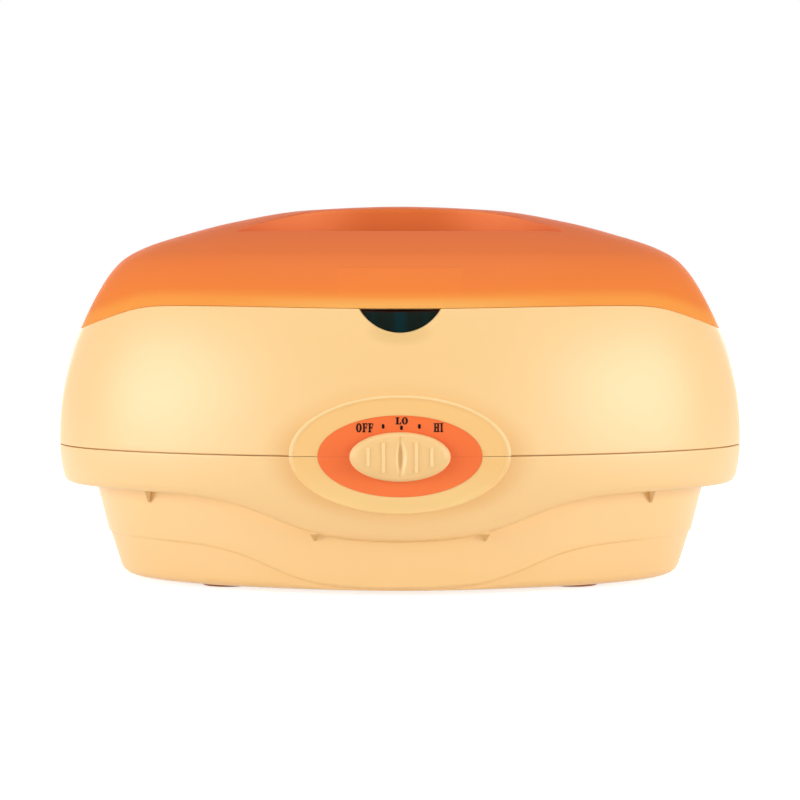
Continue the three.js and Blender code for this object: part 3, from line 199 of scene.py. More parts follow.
NECK_ROOT, NECK_END = 1.2, -104.4
SLOT = (SLIDE_TRAVEL + NECK[0] + 0.6, NECK[1] + 0.3)
RIBS = ((8.5, 15.8), (16.5, 9.9))
RIB_WIDE, RIB_PROUD, RIB_SLOPE, RIB_END = 1.8, 0.5, 0.08, 0.12
GROOVE_HALF, GROOVE_HIGH, GROOVE_DEEP = 3.35, 10.85, 2.3
GROOVE_BED = (-1.9, -0.7, 0.5, 3.9)
CROWN_SHARES = ((0, 0.38, 0.68, 0.87, 0.965, 1.0), (1.0, 0.98, 0.9, 0.75, 0.52, 0.28))
# How high the knob's rows stay evenly spaced, by distance from its middle, so that they meet the ribs' ends
KNOB_KNEES = ((0, 3.6, 7.4, 9.6, 15.4, 17.6), (10.2, 10.2, 7.9, 7.9, 4.95, 4.95))

# Lettering on the dial: height over it, and how deep it goes
PRINT_PROUD, PRINT_SUNK = 0.12, 0.3


# Plan curves

def signed_power(value, power):
    return np.sign(value) * np.abs(value) ** power


def around(columns):
    """Shares of half the length and half the depth at places spaced evenly round the plan."""
    turn = np.linspace(0, 2 * np.pi, columns, endpoint=False)
    turn = turn + EVEN * np.sin(2 * turn)
    return signed_power(np.cos(turn), 2 / PLAN_POWER), signed_power(np.sin(turn), 2 / PLAN_POWER)


AROUND = around(480)
LID_AROUND = around(400)
TANK_AROUND = around(240)


def skin(height, inset=0.0):
    """Half length and half depth of the housing at a height."""
    rise = np.asarray(height, float) - SEAM
    draw = (UPPER_DRAW * (np.clip(rise, 0, None) / UPPER_RISE) ** UPPER_POWER
            + LOWER_DRAW * (np.clip(-rise, 0, None) / LOWER_DROP) ** LOWER_POWER)
    return HALF_LENGTH - draw - inset, HALF_DEPTH - draw * DEPTH_SHARE - inset


def base_plan(height, inset=0.0):
    height = np.asarray(height, float)
    return (BASE_HALF_LENGTH + BASE_LENGTH_FLARE * height - inset,
            BASE_HALF_DEPTH + BASE_DEPTH_FLARE * height - inset)


def foot_tier(height, inset=0.0):
    """The lowest tier of the base: set in along the sides, and much less at the two ends."""
    a, b = base_plan(height, inset)
    return a - TIER_IN - TIER_TAPER * np.clip(TIER_TOP - height, 0, None), b - STEP_OUT


def between_tiers(share):
    """A plan between the lowest tier's outline and the tier's above it."""
    def plan(height, _):
        low, high = foot_tier(height), base_plan(height)
        return tuple(first + (second - first) * share for first, second in zip(low, high))
    return plan


def half_at(plan, x):
    """Half the depth of an oval at a place along its length."""
    a, b = plan
    return b * (1 - np.clip(np.abs(x / a), 0, 1) ** PLAN_POWER) ** (1 / PLAN_POWER)


def front_y(x, height, proud=0.0):
    return -half_at(skin(height, -proud), x)


# Lines of heights along the length

def wave(edge, x):
    low, high, turn, ease = edge
    swing = np.tanh((np.abs(x) - turn) / ease) / np.tanh(turn / ease)
    return (low + high) / 2 + (high - low) / 2 * swing


def lid_line(x):
    reach = (np.asarray(x, float) / LINE_REACH) ** 2
    past = np.abs(x) - LINE_END
    fall = LINE_FALL * (np.hypot(past, LINE_EASE) + past) / 2
    return LINE_FRONT + LINE_RISE * reach / (1 + reach) - fall


def top_edge(x):
    return lid_line(x) - LID_GAP / 2


def band_line(x):
    return wave(BAND_EDGE, x)


def band_top(x):
    return band_line(x) + EDGE_ROLL


def step_line(x):
    return FLOOR_UNDER + wave(STEP_EDGE, x) - STEP_EDGE[0] + STEP_RISE / 2


def step_top(x):
    return step_line(x) + STEP_ROLL


def bottom_line(x):
    return FLOOR_UNDER + np.minimum(BOTTOM_ROUND, (step_line(x) - FLOOR_UNDER) * 0.5)


def height_on(line, x):
    """The height of a line, which may be one number or a function of the length."""
    return line(x) if callable(line) else line + 0 * x


def between(low, high, share):
    return lambda x: height_on(low, x) + (height_on(high, x) - height_on(low, x)) * share


# Rows of points and closed pieces

def placed(points):
    """Points of the source's frame, in millimetres, brought into the frame in metres."""
    out = np.asarray(points, float) * MM
    out[..., 1] += SHIFT
    return out


def oval_row(plan, height, way=AROUND):
    along, across = way
    a, b = plan
    height = np.broadcast_to(np.asarray(height, float), along.shape)
    return np.stack([along * a, across * b, height], axis=1)


def oval_rows(plan, height, shares, way=AROUND):
    """Smaller and smaller copies of an oval at one height."""
    a, b = plan
    return [oval_row((a * share, b * share), height, way) for share in shares]


def wavy_row(line, plan=skin, inset=0.0, lift=0.0, way=AROUND):
    """A row round a plan, with its heights on a line that is raised by a lift."""
    x = way[0] * HALF_LENGTH * 0.9
    for _ in range(4):
        x = way[0] * plan(height_on(line, x) + lift, inset)[0]
    height = height_on(line, x) + lift
    return oval_row(plan(height, inset), height, way)


def linked(name, data):
    item = bpy.data.objects.new(name, data)
    bpy.context.scene.collection.objects.link(item)
    return item


def volume_of(points, faces):
    total = 0.0
    for size in (3, 4):
        group = np.array([f for f in faces if len(f) == size], int)
        for k in range(1, size - 1) if len(group) else ():
            a, b, c = points[group[:, 0]], points[group[:, k]], points[group[:, k + 1]]
            total += np.einsum("ij,ij->i", a, np.cross(b, c)).sum() / 6
    return total


def make_piece(name, points, faces, smooth=True):
    points = placed(points)
    if volume_of(points, faces) < 0:
        faces = [tuple(reversed(f)) for f in faces]
    mesh = bpy.data.meshes.new(name)
    mesh.from_pydata(points.tolist(), [], faces)
    mesh.validate()
    mesh.polygons.foreach_set("use_smooth", [smooth] * len(mesh.polygons))
    return linked(name, mesh)


def loft(name, rows, endless=False, poles=(None, None)):
    """A closed piece through rows of points that go round; poles close its two ends."""
    columns = len(rows[0])
    points = np.concatenate([np.asarray(row, float) for row in rows])
    index = np.arange(len(points)).reshape(len(rows), columns)
    ahead = np.roll(index, -1, axis=1)
    quads = np.stack([index, ahead, np.roll(ahead, -1, axis=0), np.roll(index, -1, axis=0)], axis=-1)
    if not endless:
        quads = quads[:-1]
    faces = [tuple(f) for f in quads.reshape(-1, 4).tolist()]
    for pole, row, following, flip in zip(poles, (index[0], index[-1]), (ahead[0], ahead[-1]), (False, True)):
        if pole is None:
            continue
        tip = len(points)
        points = np.vstack([points, np.asarray(pole, float)[None]])
        for a, b in zip(row.tolist(), following.tolist()):
            faces.append((b, tip, a) if flip else (a, tip, b))
    return make_piece(name, points, faces)


def box_piece(name, x, y, z):
    corners = [(i, j, k) for k in z for j in y for i in x]
    faces = [(0, 2, 3, 1), (4, 5, 7, 6), (0, 1, 5, 4), (2, 6, 7, 3), (0, 4, 6, 2), (1, 3, 7, 5)]
    return make_piece(name, np.array(corners), faces, smooth=False)


def prism(name, first, last, bevel=0.0):
    """A closed piece between two loops with as many points."""
    n = len(first)
    builder = bmesh.new()
    verts = [builder.verts.new(point) for point in placed(np.vstack([first, last]))]
    sides = [(k, k + n, (k + 1) % n + n, (k + 1) % n) for k in range(n)]
    for face in [range(n), range(2 * n - 1, n - 1, -1)] + sides:
        builder.faces.new([verts[k] for k in face])
    bmesh.ops.recalc_face_normals(builder, faces=builder.faces)
    if bevel:
        bmesh.ops.bevel(builder, geom=list(builder.edges), offset=bevel * MM, segments=2, profile=0.5,
                        affect="EDGES")
    else:
        bmesh.ops.triangulate(builder, faces=[f for f in builder.faces if len(f.verts) > 4])
    mesh = bpy.data.meshes.new(name)
    builder.to_mesh(mesh)
    builder.free()
    return linked(name, mesh)


def turned(name, profile, centre, columns=48, lying=False, stretch=1.0):
    """A closed piece turned round an upright axis or a lying one; the profile is (radius, height)."""
    turn = np.linspace(0, 2 * np.pi, columns, endpoint=False)
    rows, poles = [], [None, None]
    for k, (radius, height) in enumerate(profile):
        if radius == 0:
            poles[k > 0] = np.array([0, 0, height])
        else:
            level = np.full(columns, float(height))
            rows.append(np.stack([np.cos(turn) * radius * stretch, np.sin(turn) * radius, level], axis=1))

    def set_down(points):
        return (points[..., [0, 2, 1]] if lying else points) + np.asarray(centre, float)

    poles = [None if pole is None else set_down(pole) for pole in poles]
    return loft(name, [set_down(row) for row in rows], endless=poles[0] is None, poles=poles)


def joined(name, pieces):
    """One object from several, each closed already."""
    target = pieces[0]
    builder = bmesh.new()
    for piece in pieces:
        builder.from_mesh(piece.data)
    mesh = bpy.data.meshes.new(name)
    builder.to_mesh(mesh)
    builder.free()
    for piece in pieces[1:]:
        bpy.data.objects.remove(piece)
    target.data = mesh
    target.name = name
    return target


def boolean(piece, tool, operation):
    modifier = piece.modifiers.new("shape", "BOOLEAN")
    modifier.object = tool
    modifier.operation = operation
    modifier.solver = "EXACT"
    graph = bpy.context.evaluated_depsgraph_get()
    mesh = bpy.data.meshes.new_from_object(piece.evaluated_get(graph))
    piece.modifiers.remove(modifier)
    piece.data = mesh
    bpy.data.objects.remove(tool)
    return piece


def bevelled(piece, width, degrees=40):
    builder = bmesh.new()
    builder.from_mesh(piece.data)
    bmesh.ops.remove_doubles(builder, verts=builder.verts, dist=1e-7)
    limit = math.radians(degrees)
    edges = [e for e in builder.edges if len(e.link_faces) == 2 and e.calc_face_angle() > limit]
    bmesh.ops.bevel(builder, geom=edges, offset=width * MM, segments=2, profile=0.5, affect="EDGES",
                    clamp_overlap=True)
    builder.to_mesh(piece.data)
    builder.free()
    return piece


def read(items, key):
    """Three numbers for each vertex or face of a mesh."""
    values = np.empty(len(items) * 3)
    items.foreach_get(key, values)
    return values.reshape(-1, 3)


def own_places(items, key):
    """Places of vertices or faces in the source's frame, in millimetres."""
    return read(items, key) / MM - (0, SHIFT / MM, 0)


def mark(piece, name, domain, values):
    piece.data.attributes.new(name, "FLOAT", domain).data.foreach_set("value", values)


def finished(piece, material, body, slot, *nodes, degrees=32):
    """Shade a piece smoothly up to an angle, dress it and hand it over with the nodes that it stands for."""
    mesh = piece.data
    mesh.polygons.foreach_set("use_smooth", [degrees > 0] * len(mesh.polygons))
    if degrees:
        mesh.set_sharp_from_angle(angle=math.radians(degrees))
    mesh.materials.clear()
    mesh.materials.append(material)
    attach(piece, body)
    if nodes:
        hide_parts(*nodes)
    return piece


# Node trees

def add(tree, kind, **values):
    node = tree.nodes.new(kind)
    for key, value in values.items():
        setattr(node, key, value)
    return node


def feed(tree, value, socket):
    """Give a socket a plain value, or wire a field or another socket to it."""
    if isinstance(value, Field):
        value = value.socket
    if isinstance(value, bpy.types.NodeSocket):
        tree.links.new(value, socket)
    else:
        socket.default_value = value


class Field:
    """A number that a node gives; sums with it add nodes to its tree."""

    def __init__(self, tree, socket):
        self.tree = tree
        self.socket = socket

    def reckon(self, operation, *others):
        node = add(self.tree, "ShaderNodeMath", operation=operation)
        for socket, value in zip(node.inputs, (self, *others)):
            feed(self.tree, value, socket)
        return Field(self.tree, node.outputs[0])

    def __add__(self, other):
        return self.reckon("ADD", other)

    def __sub__(self, other):
        return self.reckon("SUBTRACT", other)

    def __mul__(self, other):
        return self.reckon("MULTIPLY", other)

    def __truediv__(self, other):
        return self.reckon("DIVIDE", other)

    def __pow__(self, other):
        return self.reckon("POWER", other)

    def __abs__(self):
        return self.reckon("ABSOLUTE")

    def fade(self, start, end, low=0.0, high=1.0, kind="SMOOTHSTEP"):
        """From a low value at a start to a high one at an end, which may lie below the start."""
        node = add(self.tree, "ShaderNodeMapRange", interpolation_type=kind)
        feed(self.tree, self, node.inputs["Value"])
        for label, value in (("From Min", start), ("From Max", end), ("To Min", low), ("To Max", high)):
            node.inputs[label].default_value = value
        return Field(self.tree, node.outputs["Result"])

    def mix(self, first, second):
        """The first colour where the field is nought and the second where it is one."""
        node = add(self.tree, "ShaderNodeMix", data_type="RGBA")
        for label, value in (("Factor", self), ("A", first), ("B", second)):
            feed(self.tree, value, node.inputs[label])
        return node.outputs["Result"]


def place_on_piece(tree):
    """The place on a piece along X, Y and Z, in metres."""
    split = add(tree, "ShaderNodeSeparateXYZ")
    feed(tree, add(tree, "ShaderNodeTexCoord").outputs["Object"], split.inputs[0])
    return [Field(tree, split.outputs[axis]) for axis in "XYZ"]


def marked(tree, name):
    node = add(tree, "ShaderNodeAttribute", attribute_type="GEOMETRY", attribute_name=name)
    return Field(tree, node.outputs["Fac"])


def noise(tree, place, scale, detail=2.0, rough=0.5):
    node = add(tree, "ShaderNodeTexNoise")
    for label, value in (("Vector", place), ("Scale", scale), ("Detail", detail), ("Roughness", rough)):
        feed(tree, value, node.inputs[label])
    return Field(tree, node.outputs["Fac"])


# Shared effects of the finishes

def colour(r, g, b):
    """Linear colour from the 0 to 255 values of a display."""
    shares = [value / 255 for value in (r, g, b)]
    return (*(v / 12.92 if v <= 0.04045 else ((v + 0.055) / 1.055) ** 2.4 for v in shares), 1.0)


def effect_group(name, inputs, effect):
    """A group that gives a colour, scaled by a shade, and a roughness and a height; effect works them out."""
    group = bpy.data.node_groups.new(name, "ShaderNodeTree")
    for label, value in {"Colour": (0.8, 0.8, 0.8, 1), **inputs}.items():
        kind = "NodeSocketColor" if label == "Colour" else "NodeSocketFloat"
        group.interface.new_socket(label, in_out="INPUT", socket_type=kind).default_value = value
    for label, kind in (("Colour", "Color"), ("Roughness", "Float"), ("Height", "Float")):
        group.interface.new_socket(label, in_out="OUTPUT", socket_type="NodeSocket" + kind)
    given, result = add(group, "NodeGroupInput"), add(group, "NodeGroupOutput")
    place = add(group, "ShaderNodeTexCoord").outputs["Object"]
    fields = {label: Field(group, given.outputs[label]) for label in inputs}
    shade, rough, height = effect(group, place, fields)
    tinted = add(group, "ShaderNodeVectorMath", operation="SCALE")
    feed(group, given.outputs["Colour"], tinted.inputs[0])
    feed(group, shade, tinted.inputs["Scale"])
    for label, value in (("Colour", tinted.outputs[0]), ("Roughness", rough), ("Height", height)):
        feed(group, value, result.inputs[label])
    return group


def moulded_skin(tree, place, given):
    """The slight clouding, fine grain and uneven gloss of moulded plastic."""
    cloud = noise(tree, place, 14.0, 3.0, 0.55)
    flow = noise(tree, place, 60.0)
    grain = noise(tree, place, given["Grain Scale"])
    shade = (cloud - 0.5) * given["Clouding"] + 1.0
    return shade, (flow - 0.5) * given["Gloss Drift"] + given["Roughness"], flow * 0.6 + grain


def brushed_metal(tree, place, given):
    """Fine brush lines along the length, with a little tarnish between them."""
    stretch = add(tree, "ShaderNodeMapping")
    stretch.inputs["Scale"].default_value = (0.03, 1.0, 1.0)
    feed(tree, place, stretch.inputs["Vector"])
    lines = noise(tree, stretch.outputs[0], given["Line Scale"], 3.0)
    level = lines + noise(tree, place, 22.0, 3.0, 0.6) - 1.0
    return level * given["Contrast"] + 1.0, level * given["Contrast"] + given["Roughness"], lines


MOULDED = effect_group("moulded skin", {
    "Clouding": 0.03, "Grain Scale": 2600.0, "Roughness": 0.35, "Gloss Drift": 0.06,
}, moulded_skin)
BRUSHED = effect_group("brushed metal", {
    "Line Scale": 900.0, "Roughness": 0.3, "Contrast": 0.12,
}, brushed_metal)


def finish(name, group, given, depth, tint=None, **shader_values):
    """A material from a shared effect; tint may give a colour that varies over the piece."""
    material = bpy.data.materials.new(name)
    material.use_nodes = True
    tree = material.node_tree
    shader = tree.nodes["Principled BSDF"]
    effect = add(tree, "ShaderNodeGroup", node_tree=group)
    for label, value in given.items():
        effect.inputs[label].default_value = value
    if tint is not None:
        feed(tree, tint(tree), effect.inputs["Colour"])
    bump = add(tree, "ShaderNodeBump")
    bump.inputs["Strength"].default_value = 1.0
    bump.inputs["Distance"].default_value = depth * MM
    feed(tree, effect.outputs["Height"], bump.inputs["Height"])
    feed(tree, bump.outputs["Normal"], shader.inputs["Normal"])
    feed(tree, effect.outputs["Colour"], shader.inputs["Base Color"])
    feed(tree, effect.outputs["Roughness"], shader.inputs["Roughness"])
    for label, value in shader_values.items():
        shader.inputs[label.replace("_", " ")].default_value = value
    return material


def moulded(name, tone, rough, clouding=0.03, grain=2600.0, depth=0.006, coat=0.0, coat_rough=0.1,
            drift=0.06, specular=0.5, tint=None):
    """A finish of moulded plastic or rubber."""
    given = {"Colour": tone, "Clouding": clouding, "Grain Scale": grain, "Roughness": rough,
             "Gloss Drift": drift}
    return finish(name, MOULDED, given, depth, tint, Specular_IOR_Level=specular, Coat_Weight=coat,
                  Coat_Roughness=coat_rough)


def metal(name, tone, rough, contrast, lines):
    given = {"Colour": tone, "Roughness": rough, "Contrast": contrast, "Line Scale": lines}
    return finish(name, BRUSHED, given, 0.004, Metallic=1.0)


# Colours that vary over a piece, most of them with painted light and shade

CREAM = (0.91, 0.578, 0.222, 1)
DIAL_ORANGE = (0.95, 0.175, 0.035, 1)


def bezel_reach(x, z):
    """How far a place lies from the bezel's middle, as a share of its oval, and how far above it."""
    above = (z - (CONTROL + BEZEL_LIFT) * MM) / (BEZEL[1] * MM)
    along = x / (BEZEL[0] * MM)
    return (along * along + above * above) ** 0.5, above


def housing_painted_light(tree):
    """Cream, with painted shade in the corner round the bezel and under the window, and painted shade and a
    painted highlight on the gussets.
    """
    x, y, z = place_on_piece(tree)
    reach, above = bezel_reach(x, z)
    # Painted shade round the bezel, deepest below it
    front = y.fade(-0.06, -0.09)
    lower = above.fade(1.0, 0.0, 0.35, 1.0) * above.fade(-1.25, -0.7, 0.3, 1.0)
    tone = (reach.fade(1.3, 0.97) * front * lower).mix(CREAM, (0.84, 0.47, 0.14, 1))
    # Painted shade under the lamp window
    beside, below = x / 0.02, (z - 0.14) / 0.008
    under = (beside * beside + below * below).fade(1.0, 0.0, 0, 0.6) * front
    tone = under.mix(tone, (0.74, 0.46, 0.14, 1))
    # Painted shade on the gussets' sloping faces and a painted highlight on their faces toward the middle
    gusset_painted_light = marked(tree, "gusset_painted_light")
    gusset_shaded = gusset_painted_light.fade(0.0, 1.0).mix(tone, (0.7, 0.4, 0.11, 1))
    return gusset_painted_light.fade(0.0, -1.0).mix(gusset_shaded, (1.0, 0.86, 0.6, 1))


def bezel_painted_light(tree):
    """Cream, with a painted highlight along the ridge and painted light toward the bottom edge."""
    x, _, z = place_on_piece(tree)
    reach, above = bezel_reach(x, z)
    # Painted light: the face is paler toward its bottom edge
    face = above.fade(-0.1, -0.8).mix((0.96, 0.585, 0.215, 1), (0.98, 0.66, 0.27, 1))
    # Painted highlight along the ridge
    ridge = reach.fade(0.955, 0.97) * above.fade(-0.5, 0.1)
    return ridge.mix(face, (0.98, 0.7, 0.34, 1))


def lid_painted_light(tree):
    """Orange with painted light and shade: it pales just above the lid's edge, where the cream rim stands
    close behind it and is painted as seen through.
    """
    x, y, z = place_on_piece(tree)
    off = abs(x)
    # Painted shade: darker toward the lid's top
    body = z.fade(0.158, 0.2, kind="LINEAR").mix((0.9, 0.24, 0.045, 1), (0.85, 0.19, 0.066, 1))
    # Painted light and shade on the grip's wall: deeper in its middle, where the lid is doubled, and paler at
    # its ends
    grip = off.fade(0.012, 0.055).mix((0.757, 0.173, 0.043, 1), (0.94, 0.265, 0.09, 1))
    body = marked(tree, "sunk").mix(body, grip)
    # The rim's tab is painted as seen through the lid at the front: a faint painted shadow line over a paler
    # patch
    tab_high, tab_wide = 0.1743, 0.034
    wide = off.fade(tab_wide, tab_wide - 0.003) * y.fade(0.0, -0.01)
    line = abs(z - tab_high).fade(0.0006, 0.0001, 0, 0.22) * wide
    patch = z.fade(tab_high, tab_high - 0.0002, 0, 0.35) * wide
    body = patch.mix(line.mix(body, (0.66, 0.13, 0.03, 1)), (0.95, 0.25, 0.05, 1))
    # Painted light of the rim through the lid, in a band just above the edge
    rise = marked(tree, "edge_rise")
    band = rise.fade(10.5, 3.0).mix(body, (0.95, 0.34, 0.065, 1))
    # The pale rim is painted as seen through the lid, most near the middle of each long side
    low = rise.fade(7.0, 0.5) * off.fade(0.11, 0.02, 0, 0.8)
    return low.mix(band, (0.94, 0.47, 0.12, 1))


def window_painted_light(tree):
    """Smoked green, with the lamp behind it painted as a faint upright streak of light in the middle, and a
    painted shadow along the top under the lid's edge.
    """
    x, _, z = place_on_piece(tree)
    off = abs(x)
    # Painted light: the lamp behind the pane shows as an upright streak in the middle
    painted_lamp_light = off.fade(0.0055, 0.0005).mix(colour(13, 24, 18), colour(3, 38, 40))
    sides = abs(off - 0.014).fade(0.003, 0.0, 0, 0.5).mix(painted_lamp_light, colour(4, 36, 34))
    # Painted shadow along the top of the pane, under the lid's edge
    return z.fade(0.1502, 0.1508).mix(sides, colour(26, 5, 2))


def dial_tint(tree):
    """Orange, paler toward its lower edge, with the faint line where the housing halves meet behind it."""
    _, _, z = place_on_piece(tree)
    face = z.fade(0.072, 0.058).mix(DIAL_ORANGE, (1.0, 0.205, 0.045, 1))
    line = abs(z - SEAM * MM).fade(0.3 * MM, 0.05 * MM, 0, 0.6)
    return line.mix(face, (0.82, 0.13, 0.03, 1))


def knob_painted_light(tree):
    """Cream, with painted highlights on the ribs and the groove's slopes, and painted shade deep in the
    groove.
    """
    relief = marked(tree, "relief")
    # Painted highlight on the ribs
    raised = relief.fade(0.3, 0.9).mix((0.93, 0.6, 0.25, 1), (0.98, 0.7, 0.34, 1))
    # Painted highlight on the groove's slopes
    slope = relief.fade(-0.06, -0.25).mix(raised, (0.99, 0.72, 0.36, 1))
    # Painted shade deep in the groove
    return relief.fade(-0.5, -0.95).mix(slope, (0.8, 0.48, 0.18, 1))


# Finishes

housing_finish = moulded("cream housing", CREAM, 0.46, clouding=0.02, coat=0.4, coat_rough=0.38, specular=1.0,
                         tint=housing_painted_light)
bezel_finish = moulded("cream bezel", (0.93, 0.59, 0.21, 1), 0.4, clouding=0.02, specular=0.45,
                       tint=bezel_painted_light)
lid_finish = moulded("orange lid", (0.85, 0.2, 0.04, 1), 0.45, grain=2200.0, depth=0.003, drift=0.05,
                     coat=0.14, coat_rough=0.3, specular=0.0, tint=lid_painted_light)
dial_finish = moulded("orange dial", DIAL_ORANGE, 0.42, clouding=0.02, specular=0.35, tint=dial_tint)
knob_finish = moulded("cream knob", (0.94, 0.6, 0.25, 1), 0.4, clouding=0.02, tint=knob_painted_light)
print_finish = moulded("printed black", colour(22, 10, 8), 0.6, clouding=0.2, specular=0.1)
window_finish = moulded("smoked window", colour(14, 26, 23), 0.3, clouding=0.1, depth=0.0005, drift=0.02,
                        specular=0.06, tint=window_painted_light)
foot_finish = moulded("foot rubber", colour(206, 142, 98), 0.7, clouding=0.2, grain=1500.0, depth=0.02,
                      specular=0.2)
gland_finish = moulded("gland plastic", colour(48, 48, 50), 0.5, clouding=0.1, grain=1800.0, depth=0.012)
grille_finish = moulded("grille plastic", colour(232, 230, 221), 0.45, clouding=0.04)
white_finish = moulded("white plastic", colour(230, 228, 222), 0.45, clouding=0.04)
ceramic_finish = moulded("phenolic white", colour(233, 231, 225), 0.5, clouding=0.08, grain=1200.0,
                         depth=0.01)
seal_finish = moulded("silicone seal", colour(160, 74, 56), 0.55, clouding=0.12, grain=1400.0, depth=0.01)
heater_finish = moulded("silicone heater", colour(170, 88, 63), 0.6, clouding=0.12, grain=700.0, depth=0.03)
lead_finish = moulded("lead sleeve", colour(64, 64, 66), 0.6, clouding=0.2, grain=1200.0, depth=0.02)
lamp_finish = moulded("lamp glass", colour(90, 200, 185), 0.1, clouding=0.1, depth=0.001, coat=1.0,
                      coat_rough=0.03)
tank_finish = metal("brushed tank", (0.62, 0.63, 0.64, 1), 0.3, 0.14, 1100.0)
steel_finish = metal("zinc steel", (0.55, 0.56, 0.58, 1), 0.34, 0.2, 1600.0)
brass_finish = metal("turned brass", (0.68, 0.5, 0.24, 1), 0.32, 0.15, 1800.0)


# Upper housing

def rim_plan(height, inset):
    """The rim's outline, which leans in as it rises from the housing's edge, and its heights."""
    edge = wavy_row(top_edge)[:, 2]
    level = np.maximum(height, edge)
    return skin(edge, WALL + LID_PLAY + (level - edge) * RIM_LEAN + inset), level


def rim_row(inset, height=0.0):
    return oval_row(*rim_plan(height, inset))


def upper_shell():
    seam = SEAM + SEAM_GAP / 2
    rows = [wavy_row(seam, inset=inset, lift=drop) for inset, drop in reversed(SEAM_ROUND)]
    rows += [wavy_row(between(seam, top_edge, share)) for share in np.linspace(0, 1, 30)[1:-1]]
    rows += [wavy_row(top_edge, inset=inset, lift=-drop) for inset, drop in TOP_ROUND]
    rows += [rim_row(0.0, height) for height in (0.0, *RIM_LEVELS)]
    rows += [rim_row(inset, RIM_TOP - drop) for inset, drop in RIM_ROUND]
    rows += [rim_row(RIM_WALL - inset, RIM_TOP - drop) for inset, drop in reversed(RIM_ROUND)]
    rows.append(rim_row(RIM_WALL, RIM_LEVELS[0]))
    (a, b), _ = rim_plan(DECK_TOP, RIM_WALL)
    rows += [oval_row((a - inset, b - inset), DECK_TOP + rise) for inset, rise in DECK_FILLET]
    hole = [oval_row((TANK_HALF_LENGTH + past, TANK_HALF_DEPTH + past), DECK_TOP - drop)
            for past, drop in DECK_HOLE]
    foot = rows[-1]
    rows += [foot + (hole[0] - foot) * share for share in (0.33, 0.66)]
    rows += hole
    rows.append(wavy_row(lambda x: np.minimum(DECK_TOP - DECK_WALL, top_edge(x) - WALL), inset=WALL))
    rows += [wavy_row(between(seam, top_edge, share), inset=WALL) for share in (0.8, 0.6, 0.4, 0.2, 0.0)]
    return loft("upper_shell", rows, endless=True)


def window_outline(inset, brow, steps=36):
    """The lower edge of the lamp's window: an arc that ends at the height of its brow."""
    radius = (WINDOW_HALF ** 2 + WINDOW_DROP ** 2) / (2 * WINDOW_DROP)
    middle = WINDOW_TOP - WINDOW_DROP + radius
    reach = math.acos((middle - brow) / (radius - inset))
    turn = np.linspace(-reach, reach, steps)
    return [((radius - inset) * math.sin(t), middle - (radius - inset) * math.cos(t)) for t in turn]


def window_loop(inset, top, depth):
    """The window's outline laid on the housing's face, at a depth under it."""
    outline = window_outline(inset, min(top, WINDOW_TOP))
    if top > WINDOW_TOP:
        outline = [(outline[-1][0], top), (outline[0][0], top)] + outline
    return np.array([(x, front_y(x, min(z, FACE_TOP), -depth), z) for x, z in outline])


def window_piece(name, steps):
    rows = [window_loop(*step) for step in steps]
    return loft(name, rows, poles=(rows[0].mean(axis=0), rows[-1].mean(axis=0)))


def slot_cutter():
    return box_piece("slot_cutter", (-SLOT[0], SLOT[0]), (-122, -96), (CONTROL - SLOT[1], CONTROL + SLOT[1]))


upper = upper_shell()
boolean(upper, window_piece("window_cutter", WINDOW_CUT), "DIFFERENCE")
boolean(upper, slot_cutter(), "DIFFERENCE")
upper.name = "upper_housing_shell"
finished(upper, housing_finish, "housing", "housing_plastic", "upper_housing")


# Lower housing

def lower_shell():
    seam = SEAM - SEAM_GAP / 2
    tongue, inside = WALL + TONGUE_PLAY, WALL + TONGUE_PLAY + TONGUE_WALL
    tongue_foot = SEAM - TONGUE_DOWN - TONGUE_WALL
    floor_top = FLOOR_UNDER + WALL
    rows = oval_rows(foot_tier(FLOOR_UNDER, BOTTOM_ROUND), FLOOR_UNDER, (0.04, 0.3, 0.6, 0.85))
    for turn in np.linspace(0, QUARTER, 7):
        line = between(FLOOR_UNDER, bottom_line, 1 - math.cos(turn))
        rows.append(wavy_row(line, foot_tier, BOTTOM_ROUND * (1 - math.sin(turn))))
    rows += [wavy_row(between(bottom_line, step_line, share), foot_tier) for share in (0.25, 0.5, 0.75, 1.0)]
    for turn in np.linspace(0.15, QUARTER, 7):
        rows.append(wavy_row(between(step_line, step_top, 1 - math.cos(turn)), between_tiers(math.sin(turn))))
    rows += [wavy_row(between(step_top, band_line, share), base_plan) for share in np.linspace(0, 1, 9)[1:-1]]
    rows.append(wavy_row(band_line, base_plan, -0.15, -0.5))
    rows.append(wavy_row(band_line, base_plan, -0.9))
    rows.append(wavy_row(band_line, skin, EDGE_IN + 1))
    for turn in np.linspace(0, QUARTER, 9):
        line = between(band_line, band_top, 1 - math.cos(turn))
        rows.append(wavy_row(line, skin, EDGE_IN * (1 - math.sin(turn))))
    rows += [wavy_row(between(band_top, seam, share)) for share in np.linspace(0, 1, 22)[1:-1]]
    rows += [wavy_row(seam, skin, inset, -drop) for inset, drop in SEAM_ROUND]
    for inset, height in ((tongue, seam), (tongue, SEAM + TONGUE_UP), (inside, SEAM + TONGUE_UP),
                          (inside, SEAM - TONGUE_DOWN), (WALL, tongue_foot)):
        rows.append(wavy_row(height, skin, inset))
    rows += [wavy_row(between(band_top, tongue_foot, share), skin, WALL) for share in (0.66, 0.33)]
    rows.append(wavy_row(band_line, skin, WALL + EDGE_IN, WALL))
    rows.append(wavy_row(band_line, base_plan, WALL, WALL))
    rows.append(wavy_row(lambda x: np.maximum(step_line(x) + STEP_RISE, floor_top + WALL), base_plan,
                         STEP_OUT + WALL))
    rows += oval_rows(base_plan(floor_top, STEP_OUT + WALL + BOTTOM_ROUND), floor_top, (1.0, 0.7, 0.35, 0.04))
    return loft("lower_shell", rows, poles=((0, 0, FLOOR_UNDER), (0, 0, floor_top)))


